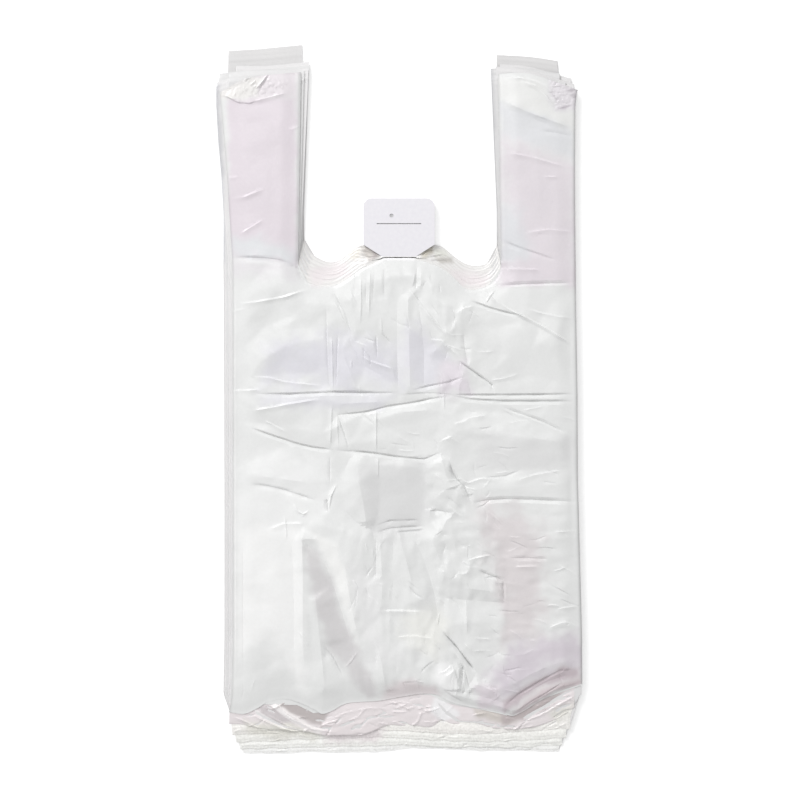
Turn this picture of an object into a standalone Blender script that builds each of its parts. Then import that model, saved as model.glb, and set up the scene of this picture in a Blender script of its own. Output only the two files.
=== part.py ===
"""Pack of vest carrier bags on one hanging tab. It lies flat on its back with the handles towards +Y.

Each bag is a tube of thin film, tucked in at both sides, sealed across the base and the handle tops and
die-cut at the mouth. The film here is thicker than the real one, so that each bag is a closed solid.
"""

import math

import bmesh
import bpy
from mathutils import Vector
from mathutils.geometry import delaunay_2d_cdt

MM = 0.001

# One bag as it is cut and sealed
BAG_WIDTH = 280 * MM
BAG_LENGTH = 560 * MM
GUSSET_DEPTH = 75 * MM
HANDLE_WIDTH = 59 * MM
HANDLE_LENGTH = 170 * MM
BASE_SKIRT = 5 * MM
HANDLE_SKIRT = 4 * MM
SEAL_WIDTH = 3 * MM

# The mouth's die-cut edge, seen from the front
MOUTH_LOW_X = 60 * MM
MOUTH_CORNER_HEIGHT = 20 * MM
SHOULDER_X = 27 * MM
NECK_WIDTH = 27 * MM

# The film and the stack
FILM = 0.1 * MM
LAYER_GAP = 0.1 * MM
BAG_GAP = 0.3 * MM
BAG_COUNT = 6

# How the stack is fanned: the rear bag lies flat, and each one in front of it is drawn up further
REAR_MOUTH_DROP = 4 * MM
MOUTH_FAN = 17.6 * MM
FRONT_SHOULDER_DROP = 4 * MM
SHOULDER_CLEARANCE = 1.5 * MM
HANDLE_TAKE_UP = 2 * MM
BODY_TAKE_UP = 52 * MM
SIDE_FAN = 5.6 * MM

# How far each bag's handles lean sideways at their tops, from the rear bag forwards
HANDLE_LEANS = (-1 * MM, 5 * MM, -7 * MM, 2 * MM, -5 * MM, -2 * MM)

# The lower corners are drawn in where the base is crumpled
BASE_DRAW_IN = 13 * MM
BASE_DRAW_HEIGHT = 38 * MM

# The hanging tab
TAB_WIDTH = 57 * MM
TAB_HEIGHT = 46.8 * MM
TAB_TAPER_HEIGHT = 9.6 * MM
TAB_CORNER_RADIUS = 6.5 * MM
PERFORATION_GAP = 0.3 * MM
SLIT_LENGTH = 36 * MM
SLIT_WIDTH = 0.8 * MM
SLIT_HEIGHT = 26.4 * MM
PIN_HOLE_RADIUS = 1.6 * MM
PIN_HOLE_X = -6 * MM
PIN_HOLE_ABOVE_SLIT = 6.4 * MM

# The crumpled wall's facets die away over this distance from the film's edges, folds and seals
CREASE_FADE = 8 * MM

# Lines of the front bag's crumpled wall, each as (x, y, height) from the bag's middle and the perforation. They
# are counted in this part of the bag's width, which is 1 mm here. The wall is flat between neighbouring lines,
# so a line is a crease, a ridge or the foot of one.
FACET_UNIT = BAG_WIDTH / 280
FRONT_FACETS = (
    ("left shoulder", ((-125, -19, 1.8), (-96, -22, 2.2), (-77, -35, 1.6))),
    ("hollow in the left panel", ((-124, -51, 1.6), (-109, -56, 0.6), (-88, -48, 1.2))),
    ("ridge in the left panel", ((-125, -72, 1.0), (-112, -83, 2.6), (-93, -72, 2.4), (-63, -65, 2.2))),
    ("foot of the left panel", ((-122, -97, 1.0), (-68, -93, 0.9))),
    ("gather below the tab, left", ((-53, -22, 2.4), (-37, -59, 2.6))),
    ("foot of that gather", ((-58, -25, 1.0), (-42, -64, 1.2))),
    ("hollow left of the centre", ((-40, -72, 0.9), (-16, -96, 0.6))),
    ("ridge left of the centre", ((-29, -59, 2.0), (-10, -86, 2.6))),
    ("upright band, foot", ((-4, -35, 1.2), (-4, -105, 0.7))),
    ("upright band, ridge", ((4, -35, 2.2), (6, -104, 2.7))),
    ("hollow right of the band", ((12, -35, 0.9), (17, -102, 0.7))),
    ("crease below the tab, right", ((20, -14, 2.2), (25, -35, 3.2), (36, -65, 3.2), (51, -86, 2.2))),
    ("foot of that crease", ((40, -32, 1.0), (44, -60, 0.8), (56, -90, 0.8))),
    ("right panel, ridge", ((67, -49, 1.2), (94, -59, 2.4), (120, -73, 2.6))),
    ("right panel, foot", ((78, -101, 0.9), (110, -96, 1.2))),
    ("packing fold across the middle", ((-130, -110, 0.5), (0, -110, 0.7), (130, -112, 0.5))),
    ("ridge under the fold, left", ((-116, -123, 2.4), (-64, -115, 1.8))),
    ("rising crease", ((-52, -127, 0.6), (-30, -125, 0.6), (27, -117, 0.8))),
    ("left panel below the fold", ((-117, -133, 1.2), (-64, -142, 2.2))),
    ("falling crease", ((-120, -144, 0.8), (-58, -155, 0.6), (0, -161, 0.6), (30, -158, 1.0))),
    ("centre panel", ((-45, -142, 2.3), (-20, -139, 2.2), (0, -126, 2.4), (22, -127, 2.2))),
    ("facet right of the centre", ((33, -120, 1.2), (48, -137, 3.0), (38, -145, 2.6))),
    ("hollow under the fold, right", ((56, -125, 0.7), (114, -132, 0.8))),
    ("right panel below the fold", ((57, -144, 2.8), (94, -144, 2.8), (126, -149, 2.4))),
    ("foot of that panel", ((57, -171, 0.9), (124, -171, 0.9))),
    ("above the lower packing fold", ((67, -187, 1.6), (128, -184, 2.0))),
    ("lower packing fold", ((58, -197, 0.5), (130, -196, 0.5))),
    ("crumple right of the centre", ((30, -166, 2.6), (36, -182, 2.8), (46, -192, 2.6))),
    ("lower left panel, foot", ((-114, -162, 1.2), (-79, -165, 1.4))),
    ("lower left panel, ridge", ((-116, -177, 2.2), (-77, -182, 2.4))),
    ("lower left crease", ((-120, -188, 1.0), (-70, -196, 0.9))),
    ("foot of the centre facet", ((-42, -163, 1.0), (-58, -196, 0.8), (-36, -215, 0.8))),
    ("edge of the centre facet", ((-36, -167, 2.4), (-32, -195, 3.8), (-28, -211, 3.2))),
    ("sunken panel, left", ((-18, -166, 1.6), (-18, -209, 1.0))),
    ("sunken panel, right", ((2, -168, 2.2), (4, -206, 1.2))),
    ("facet beside it", ((17, -169, 1.0), (18, -206, 0.8))),
    ("left panel above the base", ((-120, -243, 1.6), (-116, -283, 2.2), (-114, -318, 2.4), (-106, -342, 1.6))),
    ("foot of the long fold, left", ((-88, -227, 1.8), (-88, -275, 2.4), (-88, -315, 2.4))),
    ("long fold down the left side", ((-80, -225, 2.8), (-80, -251, 4.4), (-79, -307, 4.4), (-78, -326, 3.6))),
    ("second edge of the long fold", ((-68, -276, 4.2), (-64, -320, 4.2), (-61, -345, 3.8))),
    ("hollow beside the long fold", ((-75, -233, 1.2), (-61, -248, 0.7), (-50, -280, 0.5), (-42, -308, 0.5))),
    ("foot of that hollow", ((-36, -322, 0.6), (-22, -348, 0.8))),
    ("facet across the hollow", ((-64, -229, 2.6), (-47, -248, 4.0), (-41, -274, 4.2), (-36, -297, 3.8))),
    ("upright crease, ridge", ((-18, -227, 2.6), (-16, -255, 3.2), (-16, -280, 2.9))),
    ("upright crease, left foot", ((-29, -252, 1.6), (-29, -270, 2.0))),
    ("upright crease, right foot", ((-7, -224, 1.0), (-7, -280, 0.9))),
    ("slanting fold, ridge", ((-1, -227, 1.8), (8, -261, 3.8), (22, -284, 2.4))),
    ("slanting fold, foot", ((11, -227, 1.2), (20, -255, 0.6), (29, -289, 1.0))),
    ("block right of the slanting fold", ((24, -227, 3.0), (33, -256, 3.4), (50, -257, 3.2), (72, -268, 2.6))),
    ("foot of the block", ((36, -274, 0.9), (76, -279, 1.2))),
    ("ridge below the block", ((40, -294, 2.6), (78, -296, 2.4))),
    ("light fold low in the centre", ((-22, -309, 3.2), (-13, -346, 2.8))),
    ("feet of that fold", ((-33, -309, 1.6), (-27, -338, 1.2))),
    ("hollow low in the centre", ((-4, -317, 1.4), (8, -340, 0.8))),
    ("low crumple", ((33, -323, 2.8), (44, -344, 4.2))),
    ("hollow beside the low crumple", ((50, -328, 1.0), (53, -346, 0.7))),
    ("second low crumple", ((62, -340, 2.8), (72, -345, 3.2))),
    ("right panel above the base, foot", ((82, -219, 1.0), (84, -275, 1.0), (84, -307, 1.6))),
    ("right panel above the base, ridge", ((113, -219, 1.8), (115, -243, 2.4), (116, -290, 2.2))),
    ("billow above the base, left end", ((78, -345, 3.2), (90, -339, 4.6))),
    ("billow above the base, ridge", ((103, -332, 5.0), (114, -328, 5.0), (131, -325, 4.4))),
    ("billow above the base, foot", ((84, -354, 0.8), (98, -348, 0.7), (116, -340, 0.6), (130, -336, 0.6))),
)

# How finely the shape is cut into flat faces
FOLD_STEPS = 3
CORNER_STEPS = 5
CURVE_STEPS = 5
PIN_HOLE_STEPS = 16
TAB_CORNER_STEPS = 5
FRONT_ROW_STEP = 8 * MM
FRONT_COLUMN_STEP = 10 * MM

HANDLE_INNER_X = BAG_WIDTH / 2 - HANDLE_WIDTH
LAYER_PITCH = FILM + LAYER_GAP
BAG_THICKNESS = 3 * LAYER_PITCH + FILM
BAG_PITCH = BAG_THICKNESS + BAG_GAP
PACK_THICKNESS = BAG_COUNT * BAG_PITCH - BAG_GAP
PACK_BASE = HANDLE_LENGTH - BAG_LENGTH - REAR_MOUTH_DROP
FOLD_RADIUS = LAYER_PITCH / 2


def smooth(share):
    """0 to 1 with level ends."""
    share = min(1.0, max(0.0, share))
    return share * share * (3 - 2 * share)


def taper_height(x):
    """Height of the tab's tapered lower edge above the perforation, at this distance from its middle."""
    return TAB_TAPER_HEIGHT * (x - NECK_WIDTH / 2) / ((TAB_WIDTH - NECK_WIDTH) / 2)


class Lay:
    """Where one bag of the stack lies. Y is measured from the perforation below the tab."""

    def __init__(self, number):
        share = (number - 1) / max(1, BAG_COUNT - 1)
        rear_shoulder = taper_height(SHOULDER_X) - SHOULDER_CLEARANCE
        self.side_shift = SIDE_FAN * (share - 0.5)
        self.lean = HANDLE_LEANS[(number - 1) % len(HANDLE_LEANS)]
        self.mouth_drop = REAR_MOUTH_DROP + MOUTH_FAN * share
        self.shoulder = rear_shoulder - (rear_shoulder + FRONT_SHOULDER_DROP) * share
        self.handle_top = HANDLE_LENGTH - HANDLE_TAKE_UP * share - self.mouth_drop
        fanned = self.mouth_drop - REAR_MOUTH_DROP
        self.base = PACK_BASE + BODY_TAKE_UP * share - fanned
        self.floor = (number - 1) * BAG_PITCH

    def across(self, x, y):
        """Where a point of the flat bag lies from side to side, with its shift, lean and drawn-in base."""
        gathered = smooth((abs(x) - SHOULDER_X) / (MOUTH_LOW_X - SHOULDER_X))
        leaning = max(0.0, y - self.corner_top()) / (self.handle_top - self.corner_top())
        drawn = max(0.0, PACK_BASE + BASE_DRAW_HEIGHT - y) / BASE_DRAW_HEIGHT
        width = 1 - drawn * BASE_DRAW_IN / (BAG_WIDTH / 2)
        return x * width + self.side_shift * gathered + self.lean * leaning

    def corner_top(self):
        """Where the mouth's corner runs into the handle's straight inner edge."""
        return MOUTH_CORNER_HEIGHT - self.mouth_drop

    def mouth(self, x):
        """Height of the mouth's edge at this distance from the bag's middle."""
        x = abs(x)
        if x <= NECK_WIDTH / 2:
            return -PERFORATION_GAP / 2
        if x <= SHOULDER_X:
            rise = smooth((x - NECK_WIDTH / 2) / (SHOULDER_X - NECK_WIDTH / 2))
            return self.shoulder * rise - PERFORATION_GAP / 2
        if x <= MOUTH_LOW_X:
            fall = smooth((x - SHOULDER_X) / (MOUTH_LOW_X - SHOULDER_X))
            return self.shoulder - (self.shoulder + self.mouth_drop) * fall - PERFORATION_GAP / 2
        along = min(1.0, (x - MOUTH_LOW_X) / (HANDLE_INNER_X - MOUTH_LOW_X))
        return MOUTH_CORNER_HEIGHT * (1 - math.sqrt(1 - along * along)) - self.mouth_drop


def half_columns(longest_step):
    """Distances from the bag's middle at which its walls are divided, out to the side fold."""
    steps = [0.0, NECK_WIDTH / 2]
    spans = ((NECK_WIDTH / 2, SHOULDER_X), (SHOULDER_X, MOUTH_LOW_X))
    for start, end in spans:
        steps += [start + (end - start) * n / CURVE_STEPS for n in range(1, CURVE_STEPS + 1)]
    corner = HANDLE_INNER_X - MOUTH_LOW_X
    quarter = math.pi / 2
    steps += [
        MOUTH_LOW_X + corner * math.sin(quarter * n / CORNER_STEPS) for n in range(1, CORNER_STEPS)
    ]
    steps.append(HANDLE_INNER_X)
    outer = BAG_WIDTH / 2 - FILM / 2 - FOLD_RADIUS
    pieces = max(1, math.ceil((outer - HANDLE_INNER_X) / longest_step))
    steps += [HANDLE_INNER_X + (outer - HANDLE_INNER_X) * n / pieces for n in range(1, pieces + 1)]
    return steps


def fold_points(x, z, outwards, upper_first):
    """Half circle of film between two layers, about (x, z), without its ends. It bulges outwards, +1 or -1."""
    points = []
    for n in range(1, FOLD_STEPS):
        angle = math.pi * (n / FOLD_STEPS - 0.5)
        height = -math.sin(angle) if upper_first else math.sin(angle)
        points.append((x + outwards * FOLD_RADIUS * math.cos(angle), z + FOLD_RADIUS * height))
    return points


def section(longest_step):
    """The folded film's middle line across the bag, as (x, z, is front wall), once round the tube."""
    half = half_columns(longest_step)
    outer = half[-1]
    levels = [FILM / 2 + LAYER_PITCH * n for n in range(4)]
    back, gusset_back, gusset_front, front = levels
    tuck = BAG_WIDTH / 2 - GUSSET_DEPTH + FILM / 2 + FOLD_RADIUS
    panel = [tuck] + [x for x in half if x > tuck + FOLD_RADIUS]
    ring = [(x, front, True) for x in [-x for x in reversed(half)] + half[1:]]
    for side in (1, -1):
        z_order = (front, gusset_front, gusset_back, back)
        if side == -1:
            z_order = z_order[::-1]
        first, second, third, fourth = z_order
        downwards = side == 1
        ring += [(x, z, False) for x, z in fold_points(side * outer, (first + second) / 2, side, downwards)]
        ring += [(side * x, second, False) for x in reversed(panel)]
        ring += [(x, z, False) for x, z in fold_points(side * tuck, (second + third) / 2, -side, downwards)]
        ring += [(side * x, third, False) for x in panel]
        ring += [(x, z, False) for x, z in fold_points(side * outer, (third + fourth) / 2, side, downwards)]
        if side == 1:
            ring += [(x, back, False) for x in list(reversed(half)) + [-x for x in half[1:]]]
    return ring


def facet_triangles():
    """Triangles between the lines of FRONT_FACETS and the flat film round them, with (x, y, height) corners."""
    beyond = BAG_LENGTH
    places = [(-beyond, -beyond, 0.0), (beyond, -beyond, 0.0), (beyond, beyond, 0.0), (-beyond, beyond, 0.0)]
    edges = []
    for _, line in FRONT_FACETS:
        edges += [(len(places) + n, len(places) + n + 1) for n in range(len(line) - 1)]
        places += [(x * FACET_UNIT, y * FACET_UNIT, height * FACET_UNIT) for x, y, height in line]
    flat = [Vector((x, y)) / FACET_UNIT for x, y, _ in places]
    made = delaunay_2d_cdt(flat, edges, [], 0, 1e-4)
    corners = [places[sources[0]] for sources in made[3]]
    return [[corners[n] for n in triangle] for triangle in made[2]]


def facet_height(x, y, triangles):
    """How far the front bag's wall stands up at a point of it."""
    for (ax, ay, a_height), (bx, by, b_height), (cx, cy, c_height) in triangles:
        area = (bx - ax) * (cy - ay) - (cx - ax) * (by - ay)
        b_share = ((x - ax) * (cy - ay) - (cx - ax) * (y - ay)) / area
        c_share = ((bx - ax) * (y - ay) - (x - ax) * (by - ay)) / area
        if min(b_share, c_share, 1 - b_share - c_share) >= 0:
            return a_height + (b_height - a_height) * b_share + (c_height - a_height) * c_share
    return 0.0


def front_relief(x, y, lay, triangles):
    """Height of the front wall's facets, which die away at the side folds, the mouth and the seals."""
    if abs(x) < HANDLE_INNER_X:
        from_cut = lay.mouth(x) - y
    else:
        from_cut = math.hypot(abs(x) - HANDLE_INNER_X, max(0.0, lay.corner_top() - y))
    edges = (
        from_cut,
        BAG_WIDTH / 2 - FILM - FOLD_RADIUS - abs(x),
        y - lay.base - BASE_SKIRT - SEAL_WIDTH - CREASE_FADE / 2,
        lay.handle_top - HANDLE_SKIRT - SEAL_WIDTH - CREASE_FADE / 2 - y,
    )
    return facet_height(x, y, triangles) * smooth(min(edges) / CREASE_FADE)


def rows_of(lay, longest_step):
    """Heights of the body's rows below the mouth's corner, and of the handle's rows above it."""
    corner = lay.corner_top()
    above_seal = lay.base + BASE_SKIRT + 2 * SEAL_WIDTH
    straight = max(above_seal, PACK_BASE + BASE_DRAW_HEIGHT)
    body_rows = max(2, math.ceil((corner - straight) / longest_step))
    handle_rows = max(1, math.ceil((lay.handle_top - corner) / longest_step))
    body = [lay.base]
    if straight > above_seal:
        body.append(above_seal)
    body += [straight + (corner - straight) * n / body_rows for n in range(body_rows + 1)]
    handle = [
        corner + (lay.handle_top - corner) * n / handle_rows for n in range(1, handle_rows + 1)
    ]
    return body, handle


def film_mesh(lay, creased):
    """The folded film's middle surface, as a bmesh about the bag's own middle."""
    coarse = BAG_LENGTH
    ring = section(FRONT_COLUMN_STEP if creased else coarse)
    body, handle = rows_of(lay, FRONT_ROW_STEP if creased else coarse)
    corner = lay.corner_top()
    level = -lay.mouth_drop - 3 * MOUTH_CORNER_HEIGHT
    triangles = facet_triangles() if creased else []
    mesh = bmesh.new()
    columns = []
    for x, z, in_front in ring:
        top = lay.mouth(x) if abs(x) < HANDLE_INNER_X else corner
        heights = [
            y if y <= level else level + (y - level) * (top - level) / (corner - level) for y in body
        ]
        if abs(x) >= HANDLE_INNER_X:
            heights += handle
        column = []
        for y in heights:
            rise = front_relief(x, y, lay, triangles) if creased and in_front else 0.0
            column.append(mesh.verts.new((lay.across(x, y), y, z + rise)))
        columns.append(column)
    for left, right in zip(columns, columns[1:] + columns[:1]):
        for n in range(min(len(left), len(right)) - 1):
            mesh.faces.new((left[n], left[n + 1], right[n + 1], right[n]))
    bmesh.ops.dissolve_limit(
        mesh, angle_limit=math.radians(0.05), verts=mesh.verts, edges=mesh.edges
    )
    return mesh


def to_object(mesh, name, material):
    """A bmesh as an object of the scene, shaded smooth except at its edges."""
    bmesh.ops.recalc_face_normals(mesh, faces=mesh.faces)
    data = bpy.data.meshes.new(name)
    mesh.to_mesh(data)
    mesh.free()
    data.shade_smooth()
    data.set_sharp_from_angle(angle=math.radians(30))
    data.materials.append(material)
    thing = bpy.data.objects.new(name, data)
    bpy.context.scene.collection.objects.link(thing)
    return thing


def bar(name, x_range, y_range, z_range):
    """A helper block that joins the film's layers along a seal. It isn't part of the model."""
    mesh = bmesh.new()
    bmesh.ops.create_cube(mesh, size=1)
    for vertex in mesh.verts:
        for axis, (low, high) in enumerate((x_range, y_range, z_range)):
            vertex.co[axis] = high if vertex.co[axis] > 0 else low
    data = bpy.data.meshes.new(name)
    mesh.to_mesh(data)
    mesh.free()
    helper = bpy.data.objects.new(name, data)
    bpy.context.scene.collection.objects.link(helper)
    helper.hide_render = True
    helper.display_type = "WIRE"
    return helper


def apply_modifiers(thing):
    """Keeps the evaluated mesh in place of the modifiers."""
    graph = bpy.context.evaluated_depsgraph_get()
    made = bpy.data.meshes.new_from_object(thing.evaluated_get(graph))
    thing.modifiers.clear()
    thing.data = made


def add_seals(bag, lay):
    """Joins the layers across the base and across each handle's top."""
    side = BAG_WIDTH / 2 - FILM / 2 - FOLD_RADIUS / 2
    layers = (FILM / 2, BAG_THICKNESS - FILM / 2)
    base = (lay.base + BASE_SKIRT, lay.base + BASE_SKIRT + SEAL_WIDTH)
    top = (lay.handle_top - HANDLE_SKIRT - SEAL_WIDTH, lay.handle_top - HANDLE_SKIRT)
    inner = HANDLE_INNER_X + FILM
    spans = (("base", -side, side, base), ("left", -side, -inner, top), ("right", inner, side, top))
    helpers = []
    for place, left, right, heights in spans:
        middle = sum(heights) / 2
        width = (lay.across(left, middle), lay.across(right, middle))
        helpers.append(bar(f"{bag.name}_{place}_seal", width, heights, layers))
    for helper in helpers:
        union = bag.modifiers.new(helper.name, "BOOLEAN")
        union.operation = "UNION"
        union.object = helper
    apply_modifiers(bag)
    for helper in helpers:
        bpy.data.objects.remove(helper)


def make_bag(number, material):
    """One bag of the stack: number 1 is the rear one, which lies on the floor."""
    lay = Lay(number)
    in_front = number == BAG_COUNT
    bag = to_object(film_mesh(lay, in_front), f"bag_{number}", material)
    thicken = bag.modifiers.new("film", "SOLIDIFY")
    thicken.thickness = FILM
    thicken.offset = 0
    apply_modifiers(bag)
    add_seals(bag, lay)
    bag.location.z = lay.floor
    return bag


def tab_outline():
    """The tab's outline from the right end of its perforated neck, counter-clockwise."""
    half = TAB_WIDTH / 2
    centre_x, centre_y = half - TAB_CORNER_RADIUS, TAB_HEIGHT - TAB_CORNER_RADIUS
    right = [(NECK_WIDTH / 2, PERFORATION_GAP / 2), (half, TAB_TAPER_HEIGHT + PERFORATION_GAP / 2)]
    for n in range(TAB_CORNER_STEPS + 1):
        angle = math.pi / 2 * n / TAB_CORNER_STEPS
        x = centre_x + TAB_CORNER_RADIUS * math.cos(angle)
        y = centre_y + TAB_CORNER_RADIUS * math.sin(angle)
        right.append((x, y))
    return right + [(-x, y) for x, y in reversed(right)]


def prism(name, outline, low, high, material):
    """An outline in the plane of the bag, extruded from one height to the other."""
    mesh = bmesh.new()
    face = mesh.faces.new([mesh.verts.new((x, y, low)) for x, y in outline])
    raised = bmesh.ops.extrude_face_region(mesh, geom=[face])["geom"]
    for item in raised:
        if isinstance(item, bmesh.types.BMVert):
            item.co.z = high
    return to_object(mesh, name, material)


def make_tab(material):
    """The tabs of all the bags, welded into one block by a hot pin, with the slit that it hangs by."""
    tab = prism("header_tab", tab_outline(), 0, PACK_THICKNESS, material)
    reach = PACK_THICKNESS
    slit_half, slit_side = SLIT_LENGTH / 2, SLIT_WIDTH / 2
    slit = [
        (-slit_half, SLIT_HEIGHT),
        (-slit_half + slit_side, SLIT_HEIGHT - slit_side),
        (slit_half - slit_side, SLIT_HEIGHT - slit_side),
        (slit_half, SLIT_HEIGHT),
        (slit_half - slit_side, SLIT_HEIGHT + slit_side),
        (-slit_half + slit_side, SLIT_HEIGHT + slit_side),
    ]
    pin_hole = []
    for n in range(PIN_HOLE_STEPS):
        angle = 2 * math.pi * n / PIN_HOLE_STEPS
        x = PIN_HOLE_X + PIN_HOLE_RADIUS * math.cos(angle)
        y = SLIT_HEIGHT + PIN_HOLE_ABOVE_SLIT + PIN_HOLE_RADIUS * math.sin(angle)
        pin_hole.append((x, y))
    cutters = []
    for name, outline in (("slit", slit), ("pin_hole", pin_hole)):
        cutter = prism(name, outline, -reach, PACK_THICKNESS + reach, material)
        cut = tab.modifiers.new(name, "BOOLEAN")
        cut.operation = "DIFFERENCE"
        cut.object = cutter
        cutters.append(cutter)
    apply_modifiers(tab)
    for cutter in cutters:
        bpy.data.objects.remove(cutter)
    return tab


def film_material(name, colour, roughness):
    """Plain plastic film."""
    material = bpy.data.materials.new(name)
    material.use_nodes = True
    shader = material.node_tree.nodes["Principled BSDF"]
    shader.inputs["Base Color"].default_value = (*colour, 1)
    shader.inputs["Roughness"].default_value = roughness
    shader.inputs["Metallic"].default_value = 0
    return material


def centre(things):
    """Moves the pack so that the middle of its outline, seen from the front, is at the origin."""
    corners = [vertex.co for thing in things for vertex in thing.data.vertices]
    middle_x = (min(corner.x for corner in corners) + max(corner.x for corner in corners)) / 2
    middle_y = (min(corner.y for corner in corners) + max(corner.y for corner in corners)) / 2
    for thing in things:
        thing.location.x = -middle_x
        thing.location.y = -middle_y


def main():
    for thing in list(bpy.data.objects):
        bpy.data.objects.remove(thing)
    film = film_material("bag_film", (0.86, 0.86, 0.87), 0.35)
    tab_film = film_material("tab_film", (0.9, 0.9, 0.91), 0.4)
    pack = [make_bag(number, film) for number in range(1, BAG_COUNT + 1)]
    pack.append(make_tab(tab_film))
    centre(pack)


main()
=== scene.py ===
import math

import bpy
import numpy as np
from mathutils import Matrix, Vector, noise
from mathutils.geometry import delaunay_2d_cdt
from mathutils.kdtree import KDTree


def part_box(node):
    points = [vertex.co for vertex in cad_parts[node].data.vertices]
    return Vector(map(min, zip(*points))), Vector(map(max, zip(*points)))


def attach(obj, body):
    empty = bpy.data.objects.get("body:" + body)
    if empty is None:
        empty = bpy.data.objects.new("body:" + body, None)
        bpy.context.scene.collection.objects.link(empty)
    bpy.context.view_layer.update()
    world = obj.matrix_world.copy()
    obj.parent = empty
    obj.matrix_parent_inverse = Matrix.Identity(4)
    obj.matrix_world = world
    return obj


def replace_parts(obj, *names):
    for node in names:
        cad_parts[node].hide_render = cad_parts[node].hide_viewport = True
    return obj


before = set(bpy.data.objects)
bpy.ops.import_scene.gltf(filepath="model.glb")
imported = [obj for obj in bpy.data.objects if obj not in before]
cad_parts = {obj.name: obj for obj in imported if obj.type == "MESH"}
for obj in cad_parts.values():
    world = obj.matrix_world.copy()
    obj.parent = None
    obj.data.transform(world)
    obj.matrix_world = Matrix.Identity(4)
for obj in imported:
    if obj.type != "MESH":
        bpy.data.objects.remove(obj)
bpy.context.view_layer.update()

MM = 0.001

# The photograph's scale and size, and the two places in it that line up with the frame
PIXEL_MM = 0.8
PHOTO_PIXEL = PIXEL_MM * MM
PHOTO_SIZE = 800
TAB_COLUMN = 399
PERFORATION_ROW = 256.5
TAB_LOW, TAB_HIGH = (Vector(corner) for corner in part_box("header_tab"))
TAB_MIDDLE = (TAB_LOW + TAB_HIGH) / 2

# From here on, lengths and heights are in millimetres unless a comment says otherwise

# One flat bag, as in the frame. Its four layers are numbered from the back wall, 0, to the front wall
HALF_WIDTH = 140
HANDLE_INNER = 81
GUSSET_DEPTH = 75
LAYER_PITCH = 0.2
FRONT_LAYER = 3
HALF_FILM = 0.05
FOLD_RADIUS = 0.1
BAG_COUNT = sum(1 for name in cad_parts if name.startswith("bag_"))

# How the layers lie pressed together at the seals and the mouth's edge: the reach of that, and the share of
# their height that is left
PRESSED_REACH = 8
PRESSED_SHARE = 0.15

# The film of a bare strip: its start above the bag's floor, its end below the nearer bag's floor, its least
# height above the bag's own front wall, and the least height of all above the ground
STRIP_START, STRIP_END, STRIP_CLEARANCE = 0.13, 0.06, 0.05
LEAST_HEIGHT = 0.04

# The mesh of a whole bag: steps across its front and its back, and the heights of its mouth and its handles
FINE_STEP, COARSE_STEP = 3.0, 4.0
MOUTH_REACH, HANDLE_REACH = 40, 160
# Distances of the last places from a handle's outer edge, and of the gussets' inner folds from their line
HANDLE_EDGE_STEPS = (4, 2.4, 1)
TUCK_GAP = 0.3
# Points along a handle's top
TOP_STEPS = 40
# Rows that lie closer together towards a handle's top
TOP_CROWDING = 1.6
# Seal ridges below the handles' tops, as depth, width and share of the height. A line of film that ends above
# this row of the photograph ends in a handle
SEALS = ((3.5, 1.1, 1), (7.0, 0.9, 0.6))
SEAL_HEIGHT = 0.35
HANDLE_ROW = 120

# A narrow crease has slopes that reach no further than this. It is a little higher and reaches further on the
# side away from the light. A fold with slopes up to NARROW_FOLD gets points of its own on them
NARROW_CREASE = 2
CREASE_GAIN = 1.25
GENTLE_SIDE = 2.2
NARROW_FOLD = 3.5
SLOPE_CURVE = 1.5
# The share of a fold's length over which it dies away, and how much of that it leaves out
END_TAPER, END_START = 0.28, 0.12
# A fold's height swells along it: the least share, then the share and the wave length of each swell
LEAST_SWELL = 0.85
SWELLS = ((0.2, 3.1), (0.15, 7.7))
# The painted line that a narrow crease carries, shade in a valley and a highlight on a ridge: its reach, the
# share of the length over which it ends, and its strength
LINE_REACH, LINE_TAPER = 0.6, 0.2
RIDGE_PAINTED_HIGHLIGHT, VALLEY_PAINTED_SHADE = 0.08, 0.2

# The front wall's mesh: its pitch, then shares of the pitch: the way from row to row, and how far a place is off
SHEET_PITCH = 1.95
ROW_PITCH, LOOSENESS = 0.87, 0.16
# In a crumple the places lie this share of its spacing apart, where that is below this share of the pitch
CRUMPLE_STEP, FINER_SHARE = 0.42, 0.7
# Loose places keep this share of the pitch away from a fold's slopes and from a line of the net. A wide fold
# keeps them only this far away
SLOPE_CLEARANCE, NET_CLEARANCE = 0.3, 0.4
WIDE_FOLD_CLEARANCE = 0.4
# Lines of places inside its rim, and where it turns down at its sides and, by column, at its base
EDGE_INSETS = (0.7, 1.5, 2.6, 4.4)
RIM = 2.6
BASE_TURN_COLUMNS, BASE_TURNS = (320, 420, 470, 510), (26, 12, 9, 4)
# The share of the relief that is left at the rim, and where it grows to all of it further in
RIM_RELIEF = 0.1
CALM_SHARE, CALM_START, CALM_REACH = 0.45, 2, 14
# Small random facets of the front wall as seed, spacing and height. In the handles, which end at this row and
# fade into the body over so many rows, a share of their height is left
SMALL_FACETS = ((12, 17, 1.1), (13, 8, 0.3))
HANDLE_FACETS = 0.35
HANDLES_END, HANDLES_FADE = 235, 50
# A crumple with finer facets than this goes down as much as up
FINE_CRUMPLE = 3.5
# The front wall is darker at its sides, partly for its doubled film there and partly as painted shade, darker
# still
# at its right side as painted shade away from the light, and brighter along the mouth's edge as a painted
# highlight:
# how much, and over what reach
SIDE_DARK, SIDE_DARK_REACH = 0.2, 2.4
RIGHT_PAINTED_SHADE, RIGHT_PAINTED_SHADE_REACH = 0.25, 1.6
MOUTH_PAINTED_HIGHLIGHT, MOUTH_PAINTED_HIGHLIGHT_REACH = 0.07, 1.3
# Angles in degrees beyond which an edge of the front wall and of a base stays sharp
WALL_SHARP, BASE_SHARP = 12, 14

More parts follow.
